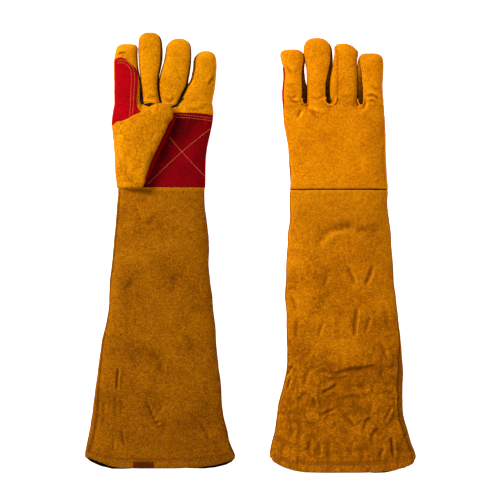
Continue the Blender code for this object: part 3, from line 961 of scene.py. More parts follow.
palmPatch = {
    "rows": 64, "columns": 84, "thick": 1.0, "rightEdge": 0.997,
    "leftEdge": [(-173.8, 86.3), (-165.5, 111.1), (-154.4, 138.7), (-137.9, 166.3), (-118.6, 189.8)],
    "topEdge": [(-124.1, 189.5), (-104.8, 189.8), (-82.7, 188.9), (-63.4, 187.5), (-49.6, 186.4)],
    "stitches": {
        "top_1": [(-107.6, 187.3), (-88.3, 186.4), (-69, 184.5), (-53, 182.9)],
        "top_2": [(-104.8, 183.4), (-88.3, 182.9), (-69, 181.1), (-54.1, 179.3)],
        "cross_1": [(-55.2, 168.4), (-93.8, 136), (-140.7, 91.8)],
        "cross_2": [(-111.7, 156.7), (-93.8, 136), (-63.4, 102.9)],
    },
}
for side in ("left", "right"):
    up = glove[side]["palmFaces"]
    dy = 0 if side == "left" else rightLower
    wrist = glove[side]["wrist"]
    v = np.linspace(0, 1, palmPatch["rows"])[:, None]
    u = np.linspace(0, 1, palmPatch["columns"])[None, :]
    edgeY = wrist + 2 + v * 102
    edgeX = track(palmPatch["leftEdge"], edgeY - dy)
    leftX = toSide(side, np.stack([edgeX, edgeY - dy], axis=-1))[..., 0]
    topY = track(palmPatch["topEdge"], u[0] * 80 - 130, 1, 0) + dy
    y = (wrist + 1.6) + v * (topY[None, :] - wrist - 1.6)
    silhouette = track(outline[side]["outerRight"], y)
    middle = (silhouette + track(outline[side]["outerLeft"], y)) / 2
    half = silhouette - middle
    reach = middle + half * palmPatch["rightEdge"]
    turn = 1 - (1 - u) ** 2.2 * 0.55 - 0.45 * (1 - u)               # columns crowd towards the side of the hand
    x = leftX + (reach - leftX) * turn
    points, normals = drape(side, None, x, y, up)
    # Painted shadow beside the folded thumb, less along the top and towards the wrist, and weaker on the right glove
    thumbShadow = (0.50 * ease(1 - (x - leftX - 24) / 52) * (0.6 + 0.4 * ease((y - wrist - 8) / 30))
              * (0.35 + 0.65 * ease((glove[side]["knuckle"] - 14 - y) / 10)) * (1 if side == "left" else 0.3))
    patch = sheetPiece(f"{side}_palm_patch_suede", points, normals, palmPatch["thick"], 0.5, finishes["darkRed"],
                       0.10 * lumps(points, 18, 9) - thumbShadow)
    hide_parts(f"{side}_palm_patch")
    bendWrist(patch)
    for n, line in palmPatch["stitches"].items():
        path, _ = resample(toSide(side, line), 1.2)
        p, nor = drape(side, None, path[:, 0], path[:, 1], up)
        row = stitches(f"{side}_palm_stitches_{n}", p + nor * (palmPatch["thick"] + 0.1), nor,
                       finishes["redThread"], radius=0.36 if "top" in n else 0.40)
        bendWrist(row)

indexPatch = {
    "rows": 110, "columns": 30, "thick": 1.0,
    "topEdge": [(0, 263.9), (0.2, 265.8), (0.42, 266.4), (0.62, 264.6), (0.78, 260.6), (0.9, 254.6), (1.0, 246.5)],
    "innerEdge": [
        (-148.9, 174.6), (-151.7, 191.1), (-155.6, 196.6), (-157.2, 206.3), (-156.1, 218.7), (-155.3, 235.3),
        (-155.3, 243.5), (-156.1, 251.8), (-160.7, 260.1),
    ],
    "stitches": {
        "outer": [
            (-182.9, 262), (-177.9, 262.8), (-172.4, 261.5), (-166.9, 257.9), (-162.7, 253.2), (-159.7, 242.2),
            (-160, 221.5), (-161.1, 200.8), (-161.6, 189.8), (-161.3, 182.9),
        ],
        "inner": [
            (-182.6, 258.7), (-177.9, 259.3), (-173.2, 258.1), (-168.8, 255.1), (-165.5, 250.4), (-163.7, 240.8),
            (-164.1, 221.5), (-164.9, 200.8), (-165.5, 189.8), (-165.5, 181.5),
        ],
    },
}
for side in ("left", "right"):
    up = glove[side]["palmFaces"]
    dy = 0 if side == "left" else rightLower - 2.6
    dx = 0 if side == "left" else 228.6
    v = np.linspace(0, 1, indexPatch["rows"])[:, None]
    u = np.linspace(0, 1, indexPatch["columns"])[None, :]
    topY = track(indexPatch["topEdge"], u[0], 1, 0) + dy
    lowY = (173.5 if side == "left" else 172.0) + 8.0 * u + dy
    y = lowY + v * (topY[None, :] - lowY)
    edge = track(outline[side]["outerLeft"], y)
    edge = edge + (1.5 if side == "left" else 0.25)
    inner = track(indexPatch["innerEdge"], y - dy) + dx
    turn = 0.62 * u + 0.38 * u ** 2.2
    x = edge + (inner - edge) * turn
    points, normals = drape(side, "index", x, y, up)
    patch = sheetPiece(f"{side}_index_patch_suede", points, normals, indexPatch["thick"], 0.5, finishes["brightRed"],
                       tone=0.10 * lumps(points, 15, 21) + 0.06)
    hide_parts(f"{side}_index_patch")
    bendFinger(patch)
    for n, line in indexPatch["stitches"].items():
        path, _ = resample(np.array(line) + (dx, dy), 1.2)
        p, nor = drape(side, "index", path[:, 0], path[:, 1], up)
        row = stitches(f"{side}_index_stitches_{n}", p + nor * (indexPatch["thick"] + 0.1), nor,
                       finishes["redThread"], radius=0.4)
        bendFinger(row)

# The right index patch's rolled edge, which shows from above along the side of the finger
line = [(46.9, 193.9), (46.2, 202.2), (45.8, 211.8), (45.5, 221.5), (46.3, 232.5), (46.6, 240.8), (45.8, 249),
        (45.2, 253.2)]
path, _ = resample(line, 1.2)
middle = underside("right", path[:, 1]) + halfThick("right", path[:, 1])
reach = np.column_stack([track(outline["right"]["outerLeft"], path[:, 1]) + 0.2, path[:, 1], middle + 2.2])
swell = 1.9 * (0.55 + 0.45 * ease((path[:, 1] - path[0, 1]) / 14))
edge = rollPiece("right_index_patch_edge", reach, swell, finishes["brightRed"], flat=1.5, tone=0.05)
bendFinger(edge)
print("patches made")


# ---------- the folded thumb and its strap ----------

thumbShape = {
    "upper": [
        (-189.5, 172.7), (-184.8, 176.8), (-177.9, 178.2), (-169.6, 180.9), (-160, 185.9), (-147.6, 192.5),
        (-136.5, 198.3), (-128.2, 201.6), (-120, 203), (-112.5, 201.1),
    ],
    "lower": [
        (-184, 87.2), (-173.8, 86.6), (-160, 86.9), (-147.6, 87.4), (-142.9, 101.5), (-137.9, 118), (-129.6, 136.5),
        (-122.2, 152.5), (-115.3, 166.3), (-109.8, 178.7),
    ],
    "tip": (-105.9, 192), "middleHeight": (19, 29, 36, 39.5, 41, 41, 40.5, 40, 39.5, 39),
    "half": (3.0, 8.0, 9.6, 10, 10, 9.8, 9.4, 8.8, 8.0, 6.6), "power": 2.9,
    "folds": [
        ([(-137.9, 151.1), (-132.9, 156.7), (-128.9, 163.5)], 1.5, 1.8),
        ([(-171, 116.7), (-164.1, 109.8), (-155.8, 108.4)], 1.0, 2.4),
        ([(-180.6, 164.9), (-173.8, 160.8), (-168.2, 162.2)], 1.0, 2.4),
        ([(-183.4, 96), (-172.4, 93.2), (-157.2, 93.8)], 1.2, 2.0),
    ],
}


def thumbRing(side):
    """The folded thumb from its root to its tip: rings between its upper and lower edge."""
    s = np.linspace(0, 9, 74)
    keys = np.arange(10.0)
    shape = thumbShape
    curve = lambda values: track(list(zip(values, keys)), s)
    a, b = (np.stack([curve([p[k] for p in shape[edge]]) for k in (0, 1)], 1) for edge in ("upper", "lower"))
    z, half = curve(shape["middleHeight"]), curve(shape["half"])
    tip = np.array(shape["tip"])
    cap = np.sin(np.linspace(0, math.pi / 2, 11))[1:]
    endA, endB, endZ, endH = a[-1], b[-1], z[-1], half[-1]
    for t in cap:                                                   # the rounded tip
        wide = math.sqrt(max(1 - t ** 2.2, 0))
        middle = (endA + endB) / 2 + (tip - (endA + endB) / 2) * t
        a = np.vstack([a, middle + (endA - endB) / 2 * wide])
        b = np.vstack([b, middle - (endA - endB) / 2 * wide])
        z = np.append(z, endZ - 1.5 * t)
        half = np.append(half, max(endH * math.sqrt(max(1 - t ** 2.4, 0)), 0.05))
    angles = np.concatenate([np.linspace(180, 0, 47), -np.linspace(0, 180, 47)[1:-1]])
    c, sn = np.cos(np.radians(angles)), np.sin(np.radians(angles))
    across = np.sign(c) * np.abs(c) ** (2 / shape["power"])
    rise = np.sign(sn) * np.abs(sn) ** (2 / shape["power"])
    middle, arm = (a + b) / 2, (b - a) / 2
    xy = middle[:, None] + arm[:, None] * across[None, :, None]
    grid = np.concatenate([xy, (z[:, None] + half[:, None] * rise[None, :])[..., None]], axis=-1)
    if side == "right":
        grid = grid * (1, 1, -1) + (240.2, rightLower, 51.2)    # under the hand, upside down
        grid[..., 2] = np.maximum(grid[..., 2], 0.3)
        grid = grid[:, ::-1]
    return grid


for side in ("left", "right"):
    grid = thumbRing(side)
    faces = cellFaces(*grid.shape[:2], ring=True)
    normals = weldedNormals([(grid, faces)])[0]
    middle = grid.mean(axis=1, keepdims=True)
    if np.sum(normals * (grid - middle)) < 0:
        grid = grid[:, ::-1]
        normals = weldedNormals([(grid, faces)])[0]
    seed = 71 if side == "left" else 91
    push = (0.55 * lumps(grid, 22, seed) + 0.42 * lumps(grid, 9, seed + 1) + 0.20 * lumps(grid, 4.5, seed + 2)
            - 0.5 * creaseLines(grid, 12, seed + 5, 0.12))
    if side == "left":
        top = ease(normals[..., 2] / 0.6)
        for line, depth, width in thumbShape["folds"]:
            push = push + top * fold(grid, line, depth, width)
    # A seam runs where the leather turns from up to down, on either edge
    half = grid.shape[1] // 2
    upright = np.abs(normals[40, :, 2])
    seamColumns = [int(np.argmin(upright[:half])), half + int(np.argmin(upright[half:]))]
    row = np.arange(grid.shape[0])
    fade = ease(row / 6) * ease((grid.shape[0] - 1 - row) / 5)
    for column in seamColumns:
        push[:, column] -= 0.9 * fade * (1 + 0.3 * np.sin(row * 1.1))
    grid = grid + normals * push[..., None]
    grid[..., 2] = np.maximum(grid[..., 2], skinFloor)
    normals = weldedNormals([(grid, faces)])[0]
    first, last = seamColumns
    away = 1 if side == "left" else -1
    for a, b in ((first, last), (last, first + grid.shape[1])):
        points, nor = strip(grid, normals, a, b)
        part = "outer" if nor[30:50, :, 2].mean() * away > 0 else "inner"
        # Random tone, a little darker overall, with painted shade along the thumb's crease lines
        tone = 0.16 * lumps(points, 12, 3) - 0.10 - 0.35 * creaseLines(points, 12, seed + 5, 0.10)
        skin = piece(f"{side}_thumb_{part}_skin", points, cellFaces(*points.shape[:2]), finishes[tan[side]],
                     tone=tone, normals=nor)
        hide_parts(f"{side}_thumb_{part}")
        bendThumb(skin)

strapShape = {
    "line": [
        (-146.2, 93.2), (-138.5, 109.8), (-133.5, 122.2), (-125.8, 137.9), (-118.9, 152.5), (-112.3, 166.3),
        (-106.7, 178.7), (-102.9, 187.8),
    ],
    "half": 2.6, "thick": 1.2,
}
for side in ("left", "right"):
    up = glove[side]["palmFaces"]
    path, way = resample(toSide(side, strapShape["line"]), 1.3)
    across = np.stack([-way[:, 1], way[:, 0]], axis=1)
    offsets = np.linspace(-strapShape["half"], strapShape["half"], 9)
    xy = path[:, None] + across[:, None] * offsets[None, :, None]
    points, normals = drape(side, None, xy[..., 0], xy[..., 1], up)
    swell = (1 - (offsets / strapShape["half"]) ** 2)[None, :, None] * 0.5
    points = points + normals * (palmPatch["thick"] + swell)
    strap = sheetPiece(f"{side}_thumb_strap_suede", points, normals, strapShape["thick"], 0.3, finishes["brightRed"],
                       tone=0.1 * lumps(points, 8, 33) - 0.16)
    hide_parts(f"{side}_thumb_strap")
    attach(strap, f"{side}_hand")
print("thumbs made")


# ---------- the gauntlet cuffs ----------

cuffShape = {
    "left": {
        "leftEdge": [
            (-182.6, 84.4), (-184.2, 62.9), (-185.6, 42.2), (-187.5, 21.5), (-189.8, 0.8), (-191.4, -19.9),
            (-192.8, -40.5), (-194.2, -62.6), (-195, -81.9), (-199.4, -102.6), (-204.1, -123.3), (-206.8, -144),
            (-209.6, -164.7), (-212.4, -185.3), (-215.1, -206), (-217.9, -226.7), (-221.5, -247.4),
            (-225.3, -268.1), (-227.3, -280.5), (-226.7, -291.5),
        ],
        "rightEdge": [
            (-62.6, 84.4), (-61.8, 62.9), (-59.3, 42.2), (-57.6, 21.5), (-56.8, 0.8), (-57.4, -19.9),
            (-55.2, -40.5), (-52.4, -61.2), (-51, -81.9), (-48.3, -102.6), (-46.9, -123.3), (-45.2, -144),
            (-42.7, -164.7), (-40, -185.3), (-39.2, -206), (-36.7, -226.7), (-31.7, -247.4), (-26.8, -268.1),
            (-21.2, -281.9), (-21, -291.5),
        ],
        "leftSeam": (
            (86, 3.2), (46, 3.4), (0, 3.0), (-40, 1.8), (-75, 1.2), (-110, 2.6), (-160, 3.6), (-190, 5.0),
            (-212, 7.4), (-235, 8.2), (-258, 7.4), (-275, 6.0), (-290, 5.0),
        ),
        "rightSeam": ((86, 0.8), (0, 1.0), (-100, 0.8), (-200, 1.2), (-290, 1.6)),
        "hemY": (
            (-1.0, -285.0), (-0.93, -286.2), (-0.82, -290.6), (-0.67, -296.4), (-0.53, -298.8), (-0.25, -299.4),
            (0.25, -299.2), (0.55, -297.6), (0.76, -294.4), (0.9, -290.6), (1.0, -286.0),
        ),
        "lowHemY": (
            (-1.0, -286.0), (-0.95, -290.8), (-0.88, -294.4), (-0.8, -298.0), (-0.67, -301.2), (-0.5, -301.4),
            (-0.25, -299.8), (0.25, -299.6), (0.45, -300.6), (0.6, -300.9), (0.75, -299.4), (0.88, -296.2),
            (0.96, -291.8), (1.0, -287.0),
        ),
        "half": ((86.3, 15.0), (40, 17.0), (-20, 18.6), (-120, 18.8), (-220, 18.2), (-300, 17.4)),
    },
    "right": {
        "leftEdge": [
            (55, 82.2), (54.6, 62.9), (55.2, 42.2), (52.7, 21.5), (52.1, 0.8), (49.9, -19.9), (49.9, -40.5),
            (48.8, -61.2), (49.6, -81.9), (50.5, -102.6), (51.3, -123.3), (51.9, -144), (50.2, -164.7),
            (45, -185.3), (40.3, -206), (37.2, -222.6), (34.8, -243.3), (30.6, -263.9), (28.3, -277.7),
            (28.1, -291.5),
        ],
        "rightEdge": [
            (189.5, 82.2), (189.5, 62.9), (192, 42.2), (194.7, 21.5), (196.1, 0.8), (197.7, -19.9), (198.9, -40.5),
            (201.3, -61.2), (203.3, -81.9), (205.7, -102.6), (208.5, -123.3), (210.4, -144), (212.1, -164.7),
            (211.5, -185.3), (211.4, -206), (212.6, -228.1), (218.2, -247.4), (223.4, -266.7), (227.8, -280.5),
            (228.6, -291.5),
        ],
        "leftSeam": ((84, 0.8), (0, 0.9), (-100, 0.8), (-150, 1.6), (-190, 1.2), (-290, 1.0)),
        "rightSeam": (
            (84, 1.0), (0, 1.0), (-100, 1.4), (-140, 3.6), (-152, 6.4), (-173, 7.4), (-194, 7.0), (-215, 7.0),
            (-232, 7.4), (-246, 7.4), (-258, 5.6), (-266, 4.4), (-290, 3.0),
        ),
        "hemY": (
            (-1.0, -284.8), (-0.955, -291.6), (-0.83, -298.4), (-0.69, -302.6), (-0.54, -304.8), (-0.27, -305.4),
            (0.3, -305.2), (0.56, -304.0), (0.72, -302.2), (0.86, -298.6), (0.965, -294.0), (1.0, -286.6),
        ),
        "lowHemY": (
            (-1.0, -285.6), (-0.95, -292.0), (-0.83, -298.6), (-0.6, -303.6), (-0.27, -305.6), (0.3, -305.6),
            (0.44, -307.0), (0.6, -306.6), (0.72, -304.2), (0.88, -299.0), (0.97, -294.2), (1.0, -287.4),
        ),
        "half": ((84.3, 15.0), (40, 17.0), (-20, 18.4), (-120, 18.6), (-220, 18.0), (-300, 17.2)),
    },
}

cuffFolds = {
    "left": [
        ([(-180.9, -159.1), (-181.6, -166), (-183.1, -179.8), (-183.1, -196.4)], 2.0, 1.7, 0.8),
        ([(-183.1, -192.2), (-185.6, -207.4), (-185.1, -222.6), (-184.5, -239.1)], 0.6, 1.8, 0.4),
        ([(-176.8, -244.6), (-175.7, -255.7), (-173.8, -265.3), (-171.8, -273.6)], 1.5, 1.5, 0.5),
        ([(-144, -201.9), (-139.3, -214.3), (-135.1, -225.3), (-127.4, -239.1), (-118.6, -251.5)], 2.0, 1.5, 0.8),
        ([(-197.2, -197.7), (-200.5, -211.5), (-201.1, -230.8), (-206.8, -252.9)], 0.5, 2.8, 0.4),
        ([(-191.1, -203.3), (-194.4, -219.8), (-198.6, -241.9)], 0.35, 2.4, 0.4),
        ([(-189.8, -255.7), (-187.5, -263.9), (-188.4, -275)], 0.9, 2.0, 0.5),
        ([(-124.1, -261.2), (-119.4, -247.4), (-115.8, -232.2)], 0.6, 2.6, 0.5),
        ([(-175.1, -203.3), (-177.9, -217.1), (-176.5, -236.4)], 0.3, 2.6, 0.4),
        ([(-160, 61.5), (-153.1, 50.5), (-151.7, 36.7)], 0.6, 4.5, 0.3),
        ([(-129.6, 50.5), (-137.9, 39.4), (-147.6, 33.9)], 0.6, 4.5, 0.3),
        ([(-162.7, -35), (-166.9, -48.8), (-173.8, -57.1)], 0.7, 5.0, 0.3),
        ([(-102, -35), (-106.2, -48.8), (-113.1, -59.8)], 0.6, 5.0, 0.3),
        ([(-71.7, -233.6), (-60.7, -250.2), (-55.2, -269.5)], 0.7, 3.2, 0.5),
        ([(-91, -109.5), (-82.7, -126), (-80, -145.3)], 0.5, 4.5, 0.3),
        ([(-137.9, -137.1), (-124.1, -153.6), (-121.4, -172.9)], 0.6, 4.5, 0.3),
    ],
    "right": [
        (
            [(154.4, 33.1), (140.7, 33.1), (128.2, 32), (115, 29.8), (103.8, 22.9), (95.2, 10.5), (88.3, -1.9)],
            1.0, 4.6, 0.6,
        ),
        ([(143.4, 27), (160, 29.8), (168.2, 27)], 0.9, 3.6, 0.3),
        ([(169.6, -18.5), (165.5, -33.6), (158, -50.2)], 1.4, 2.6, 0.6),
        ([(131.6, -18.5), (136.5, -26.8), (140.7, -36.4), (144.8, -50.2)], 1.2, 2.6, 0.6),
        ([(108.4, -32.3), (104.3, -41.9), (100.1, -50.2)], 1.1, 2.4, 0.6),
        ([(149.2, -72.3), (146.7, -84.7), (144.5, -102.6), (143.4, -123.3)], 1.5, 2.4, 0.7),
        ([(166, -86), (162.2, -101.2), (157.8, -116.4)], 1.0, 2.2, 0.6),
        ([(100.9, -95.7), (97.4, -106.7), (93.8, -120.5)], 1.1, 2.4, 0.6),
        ([(50.5, -53.5), (56.5, -52.1), (64, -51.6)], 1.0, 2.2, 0.5),
        ([(53.8, -62.6), (60.7, -70.9), (63.4, -84.7)], 0.9, 2.8, 0.5),
        ([(66.2, -90.2), (63.4, -109.5), (60.7, -128.8)], 0.9, 3.0, 0.5),
        (
            [
                (91, -159.1), (97.9, -163.8), (106.2, -166.6), (117.9, -171), (129.1, -166.6), (139.3, -164.1),
                (150.3, -163.8), (161.3, -161.9), (171, -159.1), (183.4, -150.9),
            ],
            1.5, 3.0, 0.8,
        ),
        ([(97.9, -172.9), (110.3, -177.1), (124.1, -175.7), (140.7, -171.5)], 1.2, 2.6, 0.6),
        ([(59, -156.4), (54.6, -164.7), (49.9, -174.3)], 2.0, 1.9, 0.7),
        ([(55.7, -174.3), (53, -182.6), (51, -192.2)], 1.8, 1.9, 0.7),
        ([(82.7, -159.1), (77.2, -172.9), (73.1, -189.5)], 1.1, 2.8, 0.5),
        ([(96, -197.7), (103.4, -193.6), (111.7, -188.9), (122.2, -182.6)], 1.5, 2.0, 0.7),
        ([(93.2, -228.1), (104.8, -223.1), (119.4, -216.2)], 1.3, 2.0, 0.7),
        ([(85.5, -200.5), (88.8, -207.4), (91.6, -215.7)], 1.6, 1.8, 0.7),
        ([(132.4, -228.1), (138.5, -235), (145.6, -243.3)], 1.5, 1.9, 0.7),
        ([(195, -254.3), (196.4, -269.5), (198.3, -290.1)], 2.2, 1.9, 0.8),
        ([(156.7, -252.9), (156.9, -243.3), (160, -234.2), (171.8, -228.6)], 1.3, 2.2, 0.7),
        ([(197.2, -211.5), (190.9, -223.9), (183.4, -237.7)], 1.2, 2.2, 0.6),
        ([(167.4, -270.8), (166.9, -258.4), (171, -248.8), (180.6, -244.6)], 1.3, 2.4, 0.6),
        ([(82.7, -258.4), (81.4, -272.2), (82.7, -288.8)], 1.1, 2.2, 0.6),
        ([(94.6, -261.2), (95.7, -275), (94.3, -290.1)], 1.2, 2.0, 0.6),
        ([(108.9, -257), (108.1, -272.2), (109.5, -288.8)], 1.1, 2.2, 0.6),
        ([(124.7, -263.9), (125.5, -277.7), (124.1, -291.5)], 1.0, 2.2, 0.6),
        ([(139.8, -258.4), (138.7, -275), (140.7, -290.1)], 1.1, 2.2, 0.6),
        ([(154.4, -269.5), (155.3, -280.5), (153.6, -292.9)], 0.9, 2.2, 0.6),
        ([(118.6, -207.4), (132.4, -201.9), (147.6, -200.5), (160, -204.6)], 0.9, 2.6, 0.5),
        ([(63.4, -211.5), (71.7, -200.5), (80, -190.9)], 0.9, 3.0, 0.5),
        ([(52.4, -230.8), (57.9, -244.6), (56.5, -261.2)], 0.9, 3.0, 0.5),
        ([(70.3, -230.8), (69, -247.4), (66.2, -269.5)], 0.8, 3.0, 0.5),
        ([(176.5, -123.3), (184.8, -139.8), (190.3, -156.4)], 0.9, 3.0, 0.5),
        ([(124.1, -90.2), (120, -106.7), (121.4, -126)], 0.6, 3.4, 0.4),
        ([(182, -68.1), (187.5, -90.2), (190.3, -112.3)], 0.7, 3.4, 0.4),
        ([(110.3, -244.6), (121.4, -236.4), (126.9, -225.3)], 0.9, 2.4, 0.5),
        ([(168.2, -186.7), (157.2, -189.5), (146.2, -185.3)], 0.8, 2.8, 0.5),
        ([(184.8, -269.5), (179.3, -280.5), (180.6, -292.9)], 1.2, 2.2, 0.6),
    ],
}

# Soft darker and lighter areas, the dark ones painted shade in the cuffs' fold valleys: middle, half width and height,
# how much lighter
cuffPatches = {
    "left": [
        (-137.9, -139.8, 30, 10, -0.22), (-168.2, -44.7, 18, 7, -0.1), (-157.2, 49.1, 20, 14, 0.1),
        (-82.7, -95.7, 24, 30, -0.08), (-182, -206, 10, 36, -0.08), (-110.3, -206, 30, 24, 0.06),
    ],
    "right": [
        (131, 33.9, 32, 7, -0.26), (66.2, -46.1, 22, 10, -0.2), (57.9, -15.7, 14, 10, 0.16),
        (137.9, -160.5, 38, 6, -0.26), (93.8, -166, 14, 6, -0.18), (69, -68.1, 14, 9, 0.12),
        (201.3, -275, 8, 16, -0.3), (110.3, -123.3, 24, 14, 0.08), (131, 49.1, 40, 8, 0.08),
    ],
}

cuffSteps = {"side": 7, "panel": 118, "under": 92}
hemStart = -276.6                                                   # where the panels end and the hem band begins


def cuffAngles(side, y, spread):
    """Column angles of the cuff's ring for each row: seam, upper panel, seam, lower panel."""
    shape = cuffShape[side]
    lean = {}
    for which in ("leftSeam", "rightSeam"):
        inset = np.interp(-y, [-r[0] for r in shape[which]], [r[1] for r in shape[which]])
        lean[which] = np.degrees(np.arccos(np.clip(1 - inset / spread, 0, 1) ** (cuffPower / 2)))
    n, m, u = cuffSteps["side"], cuffSteps["panel"], cuffSteps["under"]
    left, right = lean["leftSeam"][:, None], lean["rightSeam"][:, None]
    alongSide, alongTop = np.linspace(0, 1, n + 1)[None, :], np.linspace(0, 1, m + 1)[None, :-1]
    under = -np.linspace(0, 180, u + 1)[None, 1:-1] * np.ones((len(y), 1))
    return np.concatenate([180 - left * alongSide[:, :-1], 180 - left - (180 - left - right) * alongTop,
                           right * (1 - alongSide), under], axis=1)


def cuffRing(side, y, grow=0.0, angles=None):
    """Rings of the cuff at each y, grown outwards by some millimetres, with their column angles."""
    shape = cuffShape[side]
    left, right = track(shape["leftEdge"], y), track(shape["rightEdge"], y)
    grow = np.broadcast_to(grow, y.shape)
    middle, spread = (left + right) / 2, (right - left) / 2 + grow
    half = track([(v, a) for a, v in shape["half"]], y)
    if angles is None:
        angles = cuffAngles(side, y, spread)
    c, s = np.cos(np.radians(angles)), np.sin(np.radians(angles))
    x = middle[:, None] + spread[:, None] * np.sign(c) * np.abs(c) ** (2 / cuffPower)
    z = (underside(side, y) + half)[:, None] + (half + grow)[:, None] * np.sign(s) * np.abs(s) ** (2 / cuffPower)
    share = (x - middle[:, None]) / spread[:, None]
    top, low = (np.interp(share, *zip(*shape[edge])) for edge in ("hemY", "lowHemY"))
    hem = np.where(s >= 0, top, low)
    straight, flat = -225, -286.0                                   # rings are straight above, and end at flat
    yy = np.broadcast_to(y[:, None], x.shape)
    near = np.clip((straight - yy) / (straight - flat), 0, 1)
    yy = yy + (hem - flat) * near ** 2
    grid = np.stack([x, yy, np.maximum(z, 0.25 - np.minimum(grow, 0)[:, None])], axis=-1)
    return grid, angles


def towardsHem(p):
    """How strongly the right cuff's small creases show: fully in its lower third."""
    return 0.25 + 0.75 * ease((-120 - p[..., 1]) / 50)


def cuffRelief(side, p, normals):
    """How far the cuff's leather stands off its smooth form."""
    seed = 131 if side == "left" else 157
    strong = 1.0 if side == "left" else 1.25
    out = strong * (0.85 * lumps(p, 48, seed) + 0.50 * lumps(p, 21, seed + 1) + 0.24 * lumps(p, 9, seed + 2)
                    + 0.10 * lumps(p, 4, seed + 3))
    calm = ease((glove[side]["wrist"] - p[..., 1]) / 10)
    out = out * calm
    top = ease(normals[..., 2] / 0.5)
    for line, depth, width, ridge in cuffFolds[side]:
        out = out + top * fold(p, line, depth * 1.6, width, ridge)
    if side == "right":
        out = out + top * towardsHem(p) * (0.5 * lumps(p, 13, 201) - 1.2 * creaseLines(p * (1.3, 1, 1), 19, 203)
                                           - 0.9 * creaseLines(p * (1.5, 1, 1), 10, 207, 0.2))
    for x, y, angle, depth in underCreases[side]:
        dx, dy = 14 * math.cos(math.radians(angle)), 14 * math.sin(math.radians(angle))
        line = [(x - dx, y - dy), (x + 2, y + 1), (x + dx, y + dy)]
        out = out + ease(-normals[..., 2] / 0.5) * fold(p, line, depth, 2.4, 0.6)
    return out


# Creases on the undersides, which are out of sight: place, angle and depth
rng = np.random.default_rng(8)
underCreases = {side: [(rng.uniform(-60, 60) + (-123 if side == "left" else 123), rng.uniform(-260, 40),
                        rng.uniform(50, 130), rng.uniform(0.6, 1.5)) for _ in range(14)] for side in glove}


def creaseTone(side, p):
    """Painted shade in the creases and in the dark soft patches, painted highlight on the crease ridges and along the
    wrist edge, random blotches, and darker towards the hem.
    """
    out = 0.13 * lumps(p, 34, 61) + 0.07 * lumps(p, 12, 62)
    # Painted shade down each crease and painted highlight on its heaped ridge
    for line, depth, width, ridge in cuffFolds[side]:
        out = out + fold(p, line, min(depth, 1.8) * 0.40, width * 0.8, ridge * 0.7)
    for x, y, wide, high, amount in cuffPatches[side]:
        out = out + amount * np.exp(-((p[..., 0] - x) / wide) ** 2 - ((p[..., 1] - y) / high) ** 2)
    wristY = glove[side]["wrist"]
    if side == "right":
        # Painted shade in the fine creases towards the hem
        out = out - towardsHem(p) * (0.28 * creaseLines(p * (1.3, 1, 1), 19, 203, 0.12)
                                     + 0.24 * creaseLines(p * (1.5, 1, 1), 10, 207, 0.16))
        out = out + 0.26 * ease((p[..., 1] + 40) / 100) - 0.20 * ease((-75 - p[..., 1]) / 110)
        # Painted highlight along the raised edge at the wrist seam
        out = out + 0.10 * np.exp(-((p[..., 1] - wristY + 2) / 3) ** 2)
    else:
        out = out + 0.10 * ease((p[..., 1] - 20) / 60) - 0.10 * ease((-170 - p[..., 1]) / 90)
        # Painted highlight along the raised edge at the wrist seam
        out = out + 0.28 * np.exp(-((p[..., 1] - wristY + 2.0) / 1.6) ** 2)
    return out


# The hem's section: how far out and how far down, and how much lighter each of its rows is
hemProfile = [(-0.2, 0.0), (0.1, 0.3), (0.25, 1.0), (-0.15, 2.6), (0.45, 4.6), (0.6, 6.6), (0.45, 8.4), (0.0, 9.5),
              (-0.9, 9.9), (-1.7, 9.3), (-2.0, 7.6), (-2.1, 5.0), (-2.1, 2.4), (-1.6, 0.4)]
hemTones = [0, -.1, -.12, .02, .06, .05, .08, .16, .1, -.1, -.2, -.2, -.2, -.2, 0]

# The welt at the wrist: how deep it is sunk, its radius, leather and tone; the left one lighter, a painted highlight
# on the raised edge, the right one in the dark painted-shade suede, a painted shade line along the seam
wristWelt = {"left": (0.6, 1.15, "leftTan", 0.12), "right": (0.9, 0.9, "side", -0.3)}

